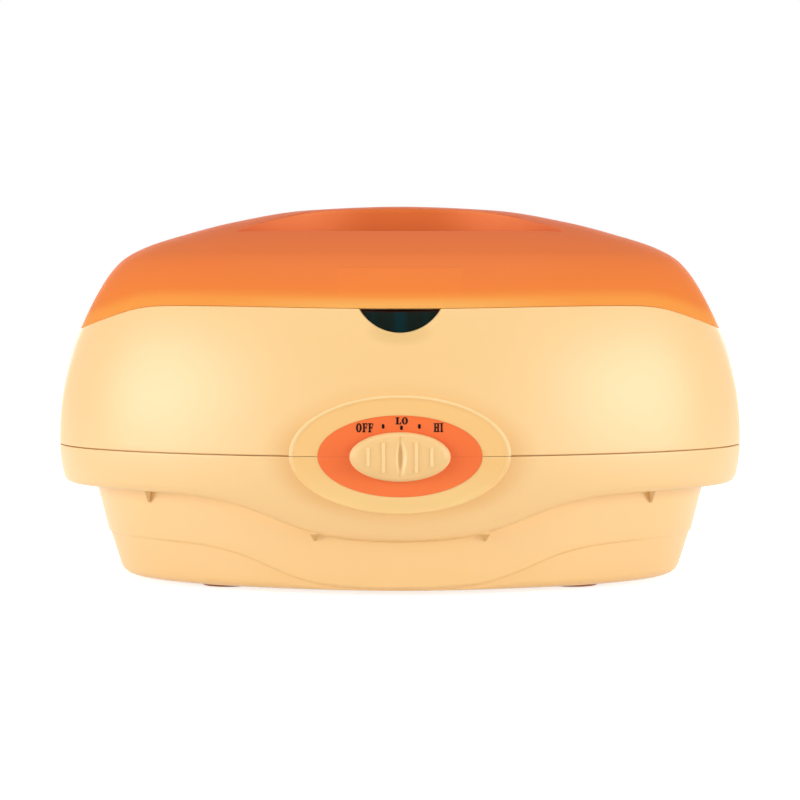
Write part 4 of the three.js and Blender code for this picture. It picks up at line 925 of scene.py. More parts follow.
def gusset(x, wide, out, down, side):
    """A small bracket in the corner between the base and the band's overhang, narrow at its foot."""
    edge = float(band_line(x))
    wall = half_at(base_plan(edge), x)
    profile = [(wall - GUSSET_SUNK, edge + GUSSET_UP), (wall - GUSSET_SUNK, edge - down),
               (wall + GUSSET_TOE, edge - down), (wall + out, edge - 0.6), (wall + out, edge + GUSSET_UP)]
    half = [wide / 2 if z > edge - 1 else 0.5 for _, z in profile]
    loops = [[(x + turn * h, side * y, z) for (y, z), h in zip(profile, half)] for turn in (-1, 1)]
    return prism("gusset", *loops, bevel=GUSSET_BEVEL)


def rounded_slot(name, x, y, length, wide, z, steps=10):
    half, round_off = (length - wide) / 2, wide / 2
    turn = np.linspace(-QUARTER, QUARTER, steps)
    loop = [(x + side * (half + round_off * math.cos(t)), y + side * round_off * math.sin(t))
            for side in (1, -1) for t in turn]
    rows = [np.array([(px, py, level) for px, py in loop]) for level in z]
    return loft(name, rows, poles=((x, y, z[0]), (x, y, z[1])))


def screw_places():
    """Where the housing's screws stand, on an oval inside the skin."""
    for degrees in SCREW_ANGLES:
        turn = math.radians(degrees)
        yield (signed_power(math.cos(turn), 2 / PLAN_POWER) * (HALF_LENGTH - SCREW_IN),
               signed_power(math.sin(turn), 2 / PLAN_POWER) * (HALF_DEPTH - SCREW_IN))


def lower_tools():
    """What is added to the lower shell, and what is cut from it."""
    added, cuts = [], []
    for x, y in screw_places():
        edge = float(band_line(x))
        high = SEAM - BOSS_ROOM - edge - BOSS_UP
        boss = ((0, 0), (BOSS_RADIUS, 0), (BOSS_RADIUS, high), (0, high))
        added.append(turned("boss", boss, (x, y, edge + BOSS_UP), 32))
        cuts.append(turned("pocket", SCREW_POCKET, (x, y, edge), 40))
    for x, y in FEET:
        cuts.append(turned("foot_hole", FOOT_HOLE, (x, y, FLOOR_UNDER), 64, stretch=FOOT_STRETCH))
    for k in range(VENT_ROWS):
        y = (k - (VENT_ROWS - 1) / 2) * VENT_APART
        for x in (-VENT_X, VENT_X):
            levels = (FLOOR_UNDER - 3, FLOOR_UNDER + 6)
            cuts.append(rounded_slot("vent", x, y, VENT_LENGTH, VENT_WIDE, levels))
    skin_back = float(skin(GLAND_HIGH)[1])
    out = GLAND_FACE - skin_back
    pad = ((0, -PAD_SUNK), (PAD_RADIUS, -PAD_SUNK), (PAD_RADIUS, out - PAD_ROUND),
           (PAD_RADIUS - PAD_ROUND, out), (0, out))
    added.append(turned("pad", pad, (0, skin_back, GLAND_HIGH), 56, lying=True))
    hole = ((0, -14), (6.3, -14), (6.3, 8), (0, 8))
    cuts.append(turned("gland_hole", hole, (0, skin_back, GLAND_HIGH), 48, lying=True))
    return added, cuts


def mark_gusset_painted_light(piece):
    """One on a gusset's sloping face, for painted shade, and minus one on its face toward the middle, for a
    painted highlight.
    """
    faces = piece.data.polygons
    x, y, z = own_places(faces, "center").T
    inward = read(faces, "normal")[:, 0] * np.sign(x) < -0.6
    near = np.minimum(*(np.abs(np.abs(x) - place) for place in GUSSET_LIGHT_PLACES)) < GUSSET_LIGHT_REACH
    near &= (np.abs(y) - half_at(base_plan(z), x) > 0.1) & (z < band_line(x) - 0.3) & (z > band_line(x) - 9)
    mark(piece, "gusset_painted_light", "FACE", np.where(near, np.where(inward, -1.0, 1.0), 0.0))


lower = lower_shell()
added, cuts = lower_tools()
boolean(lower, joined("lower_added", added), "UNION")
boolean(lower, joined("lower_cuts", cuts), "DIFFERENCE")
boolean(lower, slot_cutter(), "DIFFERENCE")
gussets = [gusset(end * x, *sizes, side) for end in (-1, 1) for side in (-1, 1) for x, *sizes in GUSSETS]
lower = joined("lower_housing_shell", [lower] + gussets)
mark_gusset_painted_light(lower)
finished(lower, housing_finish, "housing", "housing_plastic", "lower_housing")


# Bezel and dial

def on_face(points, proud):
    """Points given along the length and up, laid on the housing's front."""
    x, z = np.asarray(points, float).T
    return np.stack([x, front_y(x, z, proud), z], axis=1)


def face_oval(half, shrink=0.0, lift=0.0, columns=240):
    """An oval on the front face, round the control's middle."""
    turn = np.linspace(0, 2 * np.pi, columns, endpoint=False)
    up = CONTROL + lift + (half[1] - shrink) * np.sin(turn)
    return np.stack([(half[0] - shrink) * np.cos(turn), up], axis=1)


def bezel_ring():
    rows = [on_face(face_oval(BEZEL, inset, BEZEL_LIFT), proud) for inset, proud in BEZEL_PROFILE]
    inset, proud = BEZEL_PROFILE[-1]
    start, hole = face_oval(BEZEL, inset, BEZEL_LIFT), face_oval(DIAL, -BEZEL_PLAY)
    rows += [on_face(start + (hole - start) * share, proud) for share in (0.25, 0.5, 0.75, 1.0)]
    rows += [on_face(face_oval(DIAL, -play), proud) for play, proud in BEZEL_INSIDE]
    piece = loft("control_bezel", rows, endless=True)
    gap = box_piece("seam_gap", (-80, 80), (-122, -90), (SEAM - SEAM_LINE, SEAM + SEAM_LINE))
    return boolean(piece, gap, "DIFFERENCE")


def dial_plate():
    turn = np.linspace(0, 2 * np.pi, 240, endpoint=False)
    hole = np.stack([SLOT[0] * signed_power(np.cos(turn), 0.12),
                     CONTROL + SLOT[1] * signed_power(np.sin(turn), 0.3)], axis=1)
    rows = [on_face(face_oval(DIAL, inset), proud) for inset, proud in DIAL_EDGE]
    start = face_oval(DIAL, DIAL_EDGE[-1][0])
    rows += [on_face(start + (hole - start) * share, DIAL_PROUD) for share in (0.2, 0.4, 0.6, 0.8, 1.0)]
    rows.append(on_face(hole, DIAL_PROUD - DIAL_WALL))
    return loft("dial_plate_face", rows, endless=True)


finished(bezel_ring(), bezel_finish, "housing", "housing_plastic", degrees=40)
finished(dial_plate(), dial_finish, "housing", "dial_plastic", "dial_plate")


# Lettering: outlines one unit high, bold and narrow with small serifs, and their widths

LETTERS = {
    "F": [(0, 0), (0.4, 0), (0.4, 0.1), (0.31, 0.12), (0.31, 0.46), (0.42, 0.46), (0.46, 0.34), (0.51, 0.34),
          (0.51, 0.7), (0.46, 0.7), (0.42, 0.57), (0.31, 0.57), (0.31, 0.89), (0.46, 0.89), (0.54, 0.7),
          (0.6, 0.7), (0.58, 1), (0, 1), (0, 0.9), (0.09, 0.88), (0.09, 0.12), (0, 0.1)],
    "L": [(0, 0), (0.58, 0), (0.62, 0.34), (0.56, 0.34), (0.46, 0.12), (0.32, 0.12), (0.32, 0.88),
          (0.42, 0.9), (0.42, 1), (0, 1), (0, 0.9), (0.09, 0.88), (0.09, 0.12), (0, 0.1)],
    "H": [(0, 0), (0.36, 0), (0.36, 0.1), (0.29, 0.12), (0.29, 0.45), (0.45, 0.45), (0.45, 0.12),
          (0.38, 0.1), (0.38, 0), (0.74, 0), (0.74, 0.1), (0.66, 0.12), (0.66, 0.88), (0.74, 0.9), (0.74, 1),
          (0.38, 1), (0.38, 0.9), (0.45, 0.88), (0.45, 0.57), (0.29, 0.57), (0.29, 0.88), (0.36, 0.9),
          (0.36, 1), (0, 1), (0, 0.9), (0.08, 0.88), (0.08, 0.12), (0, 0.1)],
    "I": [(0, 0), (0.4, 0), (0.4, 0.1), (0.31, 0.12), (0.31, 0.88), (0.4, 0.9), (0.4, 1), (0, 1), (0, 0.9),
          (0.09, 0.88), (0.09, 0.12), (0, 0.1)],
}
WIDTHS = {"F": 0.6, "L": 0.62, "H": 0.74, "I": 0.4, "O": 0.66}
LETTER_GAP = 0.07
# Text, middle along the length, foot, height and stretch of each word; place and size of each dot
WORDS = (("OFF", -18.4, 88.45, 4.75, 0.93), ("LO", 0.9, 92.6, 3.7, 1.3), ("HI", 20.0, 88.6, 4.65, 0.87))
DOTS = ((-8.75, 91.6, 1.45, 2.4), (0.75, 90.85, 1.45, 2.3), (10.1, 91.55, 1.45, 2.4))


def raised_print(name, outline, hole=None):
    """A thin raised shape that follows the dial's face; a hole has as many corners as its outline."""
    top, low = (on_face(outline, DIAL_PROUD + out) for out in (PRINT_PROUD, -PRINT_SUNK))
    if hole is None:
        return prism(name, top, low)
    inner = [on_face(hole, DIAL_PROUD + out) for out in (PRINT_PROUD, -PRINT_SUNK)]
    return loft(name, [top, *inner, low], endless=True)


def letter_o(x, z, high, wide):
    turn = np.linspace(0, 2 * np.pi, 28, endpoint=False)
    half = WIDTHS["O"] / 2 * high * wide
    loops = []
    for across, up in ((1, 0.51), (0.33, 0.38)):
        along = x + half + half * across * np.cos(turn)
        loops.append(np.stack([along, z + high / 2 + high * up * np.sin(turn)], axis=1))
    return raised_print("letter", *loops)


def word(text, centre, z, high, wide):
    total = sum(WIDTHS[letter] for letter in text) * wide + LETTER_GAP * (len(text) - 1)
    x = centre - total * high / 2
    pieces = []
    for letter in text:
        if letter == "O":
            pieces.append(letter_o(x, z, high, wide))
        else:
            outline = np.array(LETTERS[letter]) * (high * wide, high) + (x, z)
            pieces.append(raised_print("letter", outline))
        x += (WIDTHS[letter] * wide + LETTER_GAP) * high
    return pieces


def dot(x, z, wide, high):
    turn = np.linspace(0, 2 * np.pi, 20, endpoint=False)
    corners = [x + wide / 2 * signed_power(np.cos(turn), 0.6), z + high / 2 * signed_power(np.sin(turn), 0.6)]
    return raised_print("dot", np.stack(corners, axis=1))


prints = [letter for sizes in WORDS for letter in word(*sizes)] + [dot(*sizes) for sizes in DOTS]
finished(joined("dial_lettering", prints), print_finish, "housing", "dial_plastic", degrees=0)


# Slider knob

def knob_crown(reach):
    """How far the knob's crown stands out, by the share of the way from its middle to its edge."""
    fine = np.linspace(0, 1, 200)
    padded = np.pad(np.interp(fine, *CROWN_SHARES), 4, mode="edge")
    return KNOB_THICK * np.interp(reach, fine, np.convolve(padded, np.ones(9) / 9, mode="valid"))


def groove_open(z):
    """How wide open the groove is at a height: one in the middle, nothing past its two tips."""
    return np.clip(1 - (z / GROOVE_HIGH) ** 2, 0, 1)


def knob_height(x, z):
    """How far the knob stands out at a point, with its groove and its ribs."""
    opened = groove_open(z)
    bed = np.interp(x / np.maximum(opened, 0.01), GROOVE_BED, (0, 0.9, 1, 0))
    height = knob_crown(np.hypot(x / KNOB[0], z / KNOB[1])) - GROOVE_DEEP * opened ** 0.7 * bed
    for at, high in RIBS:
        across = np.clip((RIB_WIDE / 2 - np.abs(np.abs(x) - at)) / RIB_SLOPE, 0, 1)
        along = np.clip((high / 2 - np.abs(z)) / RIB_END, 0, 1)
        top = knob_crown(at / KNOB[0]) + RIB_PROUD
        height = height + np.clip(top - height, 0, None) * across * along
    return height


def knob_columns():
    """Places along the knob's length, closer together at its ends, its groove and the edges of its ribs."""
    even = KNOB[0] * np.sin(np.linspace(-QUARTER, QUARTER, 120))[1:-1]
    marks = [0.0, 0.12, 0.7, GROOVE_HALF / 2, 2.4, GROOVE_HALF - 0.06, GROOVE_HALF + 0.06, KNOB[0] * 0.9995]
    for at, _ in RIBS:
        marks += [at + side * (RIB_WIDE / 2 - inset) for side in (-1, 1) for inset in (-0.01, 0.04, 0.09)]
    marks = np.unique(np.concatenate([marks, -np.array(marks)]))
    even = even[np.abs(even[:, None] - marks[None]).min(axis=1) > 0.12]
    return np.sort(np.concatenate([even, marks]))


def knob_row(u, inner, outer):
    """A loop round the knob at one place along its length."""
    off = abs(u)
    edge = KNOB[1] * math.sqrt(1 - (u / KNOB[0]) ** 2)
    last_at, last_knee = KNOB_KNEES[0][-1], KNOB_KNEES[1][-1]
    knee = np.interp(off, *KNOB_KNEES) if off < last_at else edge * last_knee / 9.49
    half = np.concatenate([inner * knee, knee + (edge - knee) * outer])
    z = np.concatenate([-half[:0:-1], half])
    # Near the groove the columns draw together with it
    fade = np.clip((edge - np.abs(z)) / (edge - GROOVE_HIGH), 0, 1) if edge > GROOVE_HIGH else 0
    narrow = 1 - (1 - np.maximum(groove_open(z), 0.1)) * fade
    knot, free = GROOVE_HALF * narrow, 7.0
    eased = knot + (off - GROOVE_HALF) * (free - knot) / (free - GROOVE_HALF) if off < free else off
    x = u * narrow if off <= GROOVE_HALF else np.sign(u) * eased + 0 * z
    front = np.stack([x, KNOB_BACK - knob_height(x, z), z + CONTROL], axis=1)
    wall = np.stack([x, np.full(len(z), KNOB_BACK - 0.25), z + CONTROL], axis=1)
    under = np.stack([x * 0.992, np.full(len(z), KNOB_BACK), z * 0.985 + CONTROL], axis=1)
    return np.concatenate([front, wall[-1:], under[::-3], wall[:1]])


def knob_piece():
    inner = np.concatenate([np.linspace(0, 0.985, 12), [0.9925, 1.0]])
    outer = np.sin(np.linspace(0, QUARTER, 13))[1:]
    rows = [knob_row(u, inner, outer) for u in knob_columns()]
    ends = [row.mean(axis=0) + (side * 0.01, 0, 0) for row, side in ((rows[0], -1), (rows[-1], 1))]
    crown = loft("knob_crown", rows, poles=ends)
    stem = box_piece("knob_stem", (-NECK[0], NECK[0]), (KNOB_BACK - NECK_ROOT, NECK_END),
                     (CONTROL - NECK[1], CONTROL + NECK[1]))
    return joined("slider_knob_cap", [crown, bevelled(stem, 0.3)])


knob = knob_piece()
knob_x, knob_y, knob_z = own_places(knob.data.vertices, "co").T
stand = KNOB_BACK - knob_y
offset = stand - knob_crown(np.hypot(knob_x / KNOB[0], (knob_z - CONTROL) / KNOB[1]))
relief = np.clip(np.where(offset > 0, offset / RIB_PROUD, offset / GROOVE_DEEP), -1, 1)
mark(knob, "relief", "POINT", relief * (stand > 1.2))
finished(knob, knob_finish, "heat_slider", "housing_plastic", "slider_knob", degrees=36)

window = window_piece("lamp_window_pane", WINDOW_PANE)
finished(window, window_finish, "housing", "window_plastic", "lamp_window")


# Lid

def smooth_rows(count):
    """The lid's profile shares drawn as a smooth curve, evenly spaced along its length."""
    rows = LID_ROWS
    run = np.hypot(np.diff(rows[:, 0]) * LID_SPAN, np.diff(rows[:, 2]) * LID_CROWN)
    along = np.concatenate([[0], np.cumsum(run)])
    slopes = np.zeros_like(rows)
    for k in range(rows.shape[1]):
        d = np.diff(rows[:, k]) / run
        slopes[0, k], slopes[-1, k] = d[0], d[-1]
        for i in range(1, len(d)):
            if d[i - 1] * d[i] > 0:
                w1, w2 = 2 * run[i] + run[i - 1], run[i] + 2 * run[i - 1]
                slopes[i, k] = (w1 + w2) / (w1 / d[i - 1] + w2 / d[i])
    slopes[-1, 2] = 0
    fine = np.linspace(0, along[-1], count)
    at = np.clip(np.searchsorted(along, fine, side="right") - 1, 0, len(run) - 1)
    t = ((fine - along[at]) / run[at])[:, None]
    h = run[at][:, None]
    return ((2 * t**3 - 3 * t**2 + 1) * rows[at] + (t**3 - 2 * t**2 + t) * h * slopes[at]
            + (-2 * t**3 + 3 * t**2) * rows[at + 1] + (t**3 - t**2) * h * slopes[at + 1])


def lid_surface():
    """Fine rows of the lid's outside without its recesses, from the edge to the crown: x, y, z and reach."""
    length, depth, height, follow = smooth_rows(700).T[:, :, None]
    edge = wavy_row(lid_line, way=LID_AROUND)[:, 2]
    a, b = skin(edge)
    half_length = float(skin(lid_line(LID_END))[0])
    half_depth = float(skin(LINE_FRONT)[1])
    end_height = float(lid_line(half_length))
    along, across = LID_AROUND
    x = along * (half_length + (a - half_length) * follow) * length
    y = across * (half_depth + (b - half_depth) * follow) * depth
    z = end_height + height * (LID_TOP - end_height) + (edge - end_height) * follow
    return np.stack([x, y, z + LID_GAP / 2 * (1 - height), np.hypot(x, y)], axis=2), edge


def sampled(surface, places):
    """Points of the surface at fractional row places, one for each column."""
    places = np.clip(places, 0, len(surface) - 1 - 1e-6)
    low = places.astype(int)
    part = (places - low)[:, None]
    columns = np.arange(surface.shape[1])
    return surface[low, columns] * (1 - part) + surface[low + 1, columns] * part


def crossing(values):
    """The first row place, from the edge inwards, where a value falls below zero in each column."""
    below = values < 0
    first = np.argmax(below, axis=0)
    columns = np.arange(values.shape[1])
    after = values[first, columns]
    before = values[np.maximum(first - 1, 0), columns]
    place = first - after / np.where(after == before, 1, after - before)
    return np.where(below.any(axis=0), place, np.nan)


def recess_edges(surface):
    """How far from the middle the recess starts and ends in each column, and how wide it is."""
    x, y = surface[:, :, 0], surface[:, :, 1]
    oval = np.abs(x / RECESS_REACH) ** PLAN_POWER + np.abs(y / RECESS_OUTER) ** PLAN_POWER
    oval = oval ** (1 / PLAN_POWER) - 1
    outer_at = crossing(oval)
    grip = np.abs(y) - (GRIP_HALF + GRIP_FLARE * (x / GRIP_REACH) ** 4)
    inside = (oval < 0) & (grip > 0)
    last = len(inside) - 1 - np.argmax(inside[::-1], axis=0)
    columns = np.arange(x.shape[1])
    g0, g1 = grip[last, columns], grip[np.minimum(last + 1, len(grip) - 1), columns]
    inner_at = np.where(inside.any(axis=0), last + g0 / np.where(g0 == g1, 1, g0 - g1), outer_at)
    outer, inner = (sampled(surface, place)[:, 3] for place in (outer_at, inner_at))
    width = np.clip(outer - inner, 0, None)
    gap, middle = np.maximum(width, RECESS_LEAST), (outer + inner) / 2
    return middle + gap / 2, middle - gap / 2, width


def lid_rows(surface):
    """Rows of the lid's outside from the edge to the crown, with how open its recess is in each column."""
    outer, inner, width = recess_edges(surface)
    opened = np.clip(width / RECESS_OPEN, 0, 1) ** 0.75
    shrink = np.clip((outer - inner) / RECESS_FULL, 0.12, 1)
    numbers = np.arange(len(surface))

    def place_of(distance):
        return np.array([np.interp(-d, -line, numbers) for d, line in zip(distance, surface[:, :, 3].T)])

    def dome(distance):
        return sampled(surface, place_of(distance))[:, :3]

    def wall(sign, base):
        """Rows down a wall of the recess, from its lip to its foot."""
        top = dome(base)[:, 2]
        depth = (top - RECESS_FLOOR) * opened
        made = []
        for offset, sink in RECESS_LIP:
            row = dome(base + sign * offset * shrink)
            row[:, 2] -= np.minimum(sink * opened, depth)
            made.append(row)
        for offset, rise in RECESS_FOOT:
            row = dome(base + sign * offset * shrink)
            level = top - depth + np.minimum(rise * opened, depth)
            row[:, 2] += (level - row[:, 2]) * np.clip(opened * 6, 0, 1)
            made.append(row)
        return made

    start = place_of(outer + LIP_REACH * shrink)
    rows = [sampled(surface, start * share)[:, :3] for share in np.linspace(0, 1, LID_SIDE_ROWS)[:-1]]
    outer_wall, inner_wall = wall(-1, outer), wall(1, inner)
    a, b = outer_wall[-1], inner_wall[-1]
    floor_rows = [a + (b - a) * share for share in (0.25, 0.5, 0.75)]
    walls = range(len(rows) + 3, len(rows) + len(outer_wall) + len(floor_rows) + len(inner_wall) - 2)
    rows += outer_wall + floor_rows + inner_wall[::-1]
    stop = inner - LIP_REACH * shrink
    rows += [dome(stop * share) for share in np.linspace(1, 0, 22)[1:-1]]
    return rows, opened, walls


def lid_shell():
    """The lid with its wall, its edge and its recesses, and how far each of its points lies in a recess."""
    surface, edge = lid_surface()
    rows, opened, walls = lid_rows(surface)
    grid = np.stack(rows)
    round_way = (np.roll(grid, -1, axis=1) - np.roll(grid, 1, axis=1)) / 2
    normal = np.cross(round_way, np.gradient(grid, axis=0))
    normal /= np.linalg.norm(normal, axis=2, keepdims=True) + 1e-12
    if normal[-1, :, 2].mean() < 0:
        normal = -normal
    inside = grid - WALL * normal
    level = edge + LID_GAP / 2
    kept = list(range(4, LID_SIDE_ROWS - 1, 4)) + list(range(LID_SIDE_ROWS - 1, len(rows), 2))
    inner_rows = [oval_row(skin(edge, WALL), level + LID_INSIDE_RISE, LID_AROUND)] + [inside[k] for k in kept]
    bottom = [oval_row(skin(edge, inset), level + rise, LID_AROUND) for inset, rise in LID_ROUND]
    rows[0][:, 2] += LID_OUTSIDE_RISE
    all_rows = inner_rows[::-1] + bottom[::-1] + rows
    piece = loft("lid_shell", all_rows, poles=((0, 0, LID_TOP - WALL), (0, 0, LID_TOP)))
    before = len(inner_rows) + len(bottom)
    sunk = np.zeros((len(all_rows), len(edge)))
    sunk[before + walls.start:before + walls.stop] = np.clip(opened * 3, 0, 1)
    return piece, np.concatenate([sunk.ravel(), [0, 0]])


lid, lid_sunk = lid_shell()
lid_x, _, lid_z = own_places(lid.data.vertices, "co").T
mark(lid, "edge_rise", "POINT", lid_z - lid_line(lid_x))
mark(lid, "sunk", "POINT", lid_sunk)
finished(lid, lid_finish, "lid_body", "lid_plastic", "lid", degrees=60)


# Tank

def tank_row(height, inset):
    draft = TANK_DRAFT * (FLANGE_TOP - height) / (FLANGE_TOP - TANK_FLOOR)
    plan = (TANK_HALF_LENGTH - draft - inset, TANK_HALF_DEPTH - draft - inset)
    return oval_row(plan, height, TANK_AROUND)


def tank_piece():
    under, outer_corner = TANK_FLOOR - TANK_WALL, TANK_CORNER + TANK_WALL
    flat = (TANK_HALF_LENGTH - 12, TANK_HALF_DEPTH - 12)
    rows = oval_rows(flat, under, (0.05, 0.4, 0.75), TANK_AROUND)
    for turn in np.linspace(0, QUARTER, 8):
        rows.append(tank_row(under + outer_corner * (1 - math.cos(turn)),
                             TANK_CORNER - outer_corner * math.sin(turn)))
    rows.append(tank_row(TANK_MIDDLE, -TANK_WALL))
    rows += [tank_row(FLANGE_TOP - drop, -out) for drop, out in FLANGE]
    rows.append(tank_row(TANK_MIDDLE, 0))
    for turn in np.linspace(QUARTER, 0, 8):
        rows.append(tank_row(TANK_FLOOR + TANK_CORNER * (1 - math.cos(turn)),
                             TANK_CORNER * (1 - math.sin(turn))))
    rows += oval_rows(flat, TANK_FLOOR, (0.75, 0.4, 0.05), TANK_AROUND)
    pan = loft("tank_pan", rows, poles=((0, 0, under), (0, 0, TANK_FLOOR)))
    high = STUD_LENGTH + STUD_ROOT
    stud = ((0, 0), (STUD_RADIUS - 0.2, 0), (STUD_RADIUS, 0.3), (STUD_RADIUS, high), (0, high))
    studs = [turned("stud", stud, (x, y, under - STUD_LENGTH), 20) for x, y in STUDS]
    return joined("tank_pan", [pan] + studs)


finished(tank_piece(), tank_finish, "housing", "tank_metal", "tank")


# Screws and grille bars, grown by geometry nodes

def shape_tree(name, inputs):
    """A tree of geometry nodes, its named inputs as fields, its end and the identifiers of its inputs."""
    tree = bpy.data.node_groups.new(name, "GeometryNodeTree")
    for way in ("OUTPUT", "INPUT"):
        tree.interface.new_socket("Geometry", in_out=way, socket_type="NodeSocketGeometry")
    ids = {}
    for label, value in inputs.items():
        kind = "NodeSocketInt" if isinstance(value, int) else "NodeSocketFloat"
        socket = tree.interface.new_socket(label, in_out="INPUT", socket_type=kind)
        socket.default_value = value
        ids[label] = socket.identifier
    outputs = add(tree, "NodeGroupInput").outputs
    given = {label: Field(tree, outputs[label]) for label in (*inputs, "Geometry")}
    return tree, given, add(tree, "NodeGroupOutput"), ids


def shape(tree, kind, inputs, **values):
    """The first output of a new node, with its named inputs fed; a list feeds several pieces to one input."""
    node = add(tree, kind, **values)
    for label, value in inputs.items():
        for item in value if isinstance(value, list) else [value]:
            feed(tree, item, node.inputs[label])
    return node.outputs[0]


def vector(tree, x, y, z):
    return shape(tree, "ShaderNodeCombineXYZ", {"X": x, "Y": y, "Z": z})


def spread_out(tree, points, instance, material, result, scale=(1, 1, 1)):
    """End a tree with a piece on every point, made real and dressed."""
    spread = shape(tree, "GeometryNodeInstanceOnPoints", {
        "Points": points, "Instance": instance, "Scale": scale,
    })
    real = shape(tree, "GeometryNodeRealizeInstances", {"Geometry": spread})
    dressed = shape(tree, "GeometryNodeSetMaterial", {"Geometry": real, "Material": material})
    feed(tree, dressed, result.inputs[0])


def grown(name, made, values, points=((0, 0, 0),)):
    """The plain mesh that a tree makes on a few points, which are in millimetres."""
    tree, ids = made
    mesh = bpy.data.meshes.new(name)
    mesh.from_pydata(placed(points).tolist(), [], [])
    carrier = linked(name, mesh)
    modifier = carrier.modifiers.new("made", "NODES")
    modifier.node_group = tree
    for label, value in values.items():
        modifier[ids[label]] = value
    graph = bpy.context.evaluated_depsgraph_get()
    result = bpy.data.meshes.new_from_object(carrier.evaluated_get(graph))
    carrier.modifiers.remove(modifier)
    carrier.data = result
    result.name = name
    return carrier


def screw_tree(name, material):
    """A round machine screw head with a cross recess below and a shank above, on every point."""
    tree, given, result, ids = shape_tree(name, {
        "Head Radius": 0.0033, "Head Height": 0.002, "Shank Radius": 0.0015, "Shank Length": 0.03,
        "Cross Length": 0.0036, "Cross Width": 0.0009, "Cross Depth": 0.001, "Sides": 28,
    })
    radius, high, shank = given["Head Radius"], given["Head Height"], given["Shank Length"]
    head = shape(tree, "GeometryNodeMeshCone", {
        "Vertices": given["Sides"], "Radius Bottom": radius * 0.78, "Radius Top": radius,
        "Depth": high * 0.45,
    }, fill_type="NGON")
    disc = shape(tree, "GeometryNodeMeshCylinder", {
        "Vertices": given["Sides"], "Radius": radius, "Depth": high * 0.56,
    })
    disc = shape(tree, "GeometryNodeTransform", {
        "Geometry": disc, "Translation": vector(tree, 0, 0, high * 0.72),
    })
    whole = shape(tree, "GeometryNodeMeshBoolean", {"Mesh 2": [head, disc]}, operation="UNION")
    long, wide, deep = given["Cross Length"], given["Cross Width"], given["Cross Depth"] * 2.0
    cross = [shape(tree, "GeometryNodeMeshCube", {"Size": vector(tree, *sizes, deep)})
             for sizes in ((long, wide), (wide, long))]
    carved = shape(tree, "GeometryNodeMeshBoolean", {
        "Mesh 1": whole, "Mesh 2": cross,
    }, operation="DIFFERENCE")
    rod = shape(tree, "GeometryNodeMeshCylinder", {
        "Vertices": 16, "Radius": given["Shank Radius"], "Depth": shank,
    })
    rod = shape(tree, "GeometryNodeTransform", {
        "Geometry": rod, "Translation": vector(tree, 0, 0, shank * 0.5 + high),
    })
    both = shape(tree, "GeometryNodeJoinGeometry", {"Geometry": [carved, rod]})
    spread_out(tree, given["Geometry"], both, material, result)
    return tree, ids


def grille_tree(name, material):
    """Bars of the grille, each as long as the oval allows at its place."""
    tree, given, result, ids = shape_tree(name, {
        "Bars": 12, "Pitch": 0.019, "Bar Width": 0.007, "Bar Height": 0.0025, "Half Length": 0.122,
        "Half Depth": 0.06, "Height": 0.07325,
    })
    start = (given["Bars"] - 1.0) * given["Pitch"] * -0.5
    line = shape(tree, "GeometryNodeMeshLine", {
        "Count": given["Bars"], "Start Location": vector(tree, start, SHIFT, given["Height"]),
        "Offset": vector(tree, given["Pitch"], 0.0, 0.0),
    })
    place = add(tree, "GeometryNodeInputPosition").outputs[0]
    along = Field(tree, shape(tree, "ShaderNodeSeparateXYZ", {"Vector": place}))
    rest = ((abs(along) / given["Half Length"]) ** PLAN_POWER * -1.0 + 1.0).reckon("MAXIMUM", 0.001)
    reach = rest ** (1 / PLAN_POWER) * given["Half Depth"]
    bar = shape(tree, "GeometryNodeMeshCube", {
        "Size": vector(tree, given["Bar Width"], 2.0, given["Bar Height"]), "Vertices Y": 3,
    })
    spread_out(tree, line, bar, material, result, vector(tree, 1.0, reach, 1.0))
    return tree, ids


screws = screw_tree("cross head screws", steel_finish)
for kind, (head, high, shank, cross) in SCREWS.items():
    for k in range(1, 7):
        name = f"{kind}_{k}"
        low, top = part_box(name)
        middle = (low + top) / 2
        screw = grown(name + "_cross", screws, {
            "Head Radius": head * MM, "Head Height": high * MM, "Shank Radius": shank * MM,
            "Shank Length": top.z - low.z - high * MM, "Cross Length": cross * MM,
            "Cross Width": CROSS_WIDE * MM, "Cross Depth": CROSS_DEEP * MM,
        }, [(middle.x / MM, (middle.y - SHIFT) / MM, low.z / MM)])
        finished(screw, steel_finish, "housing", "steel", name)


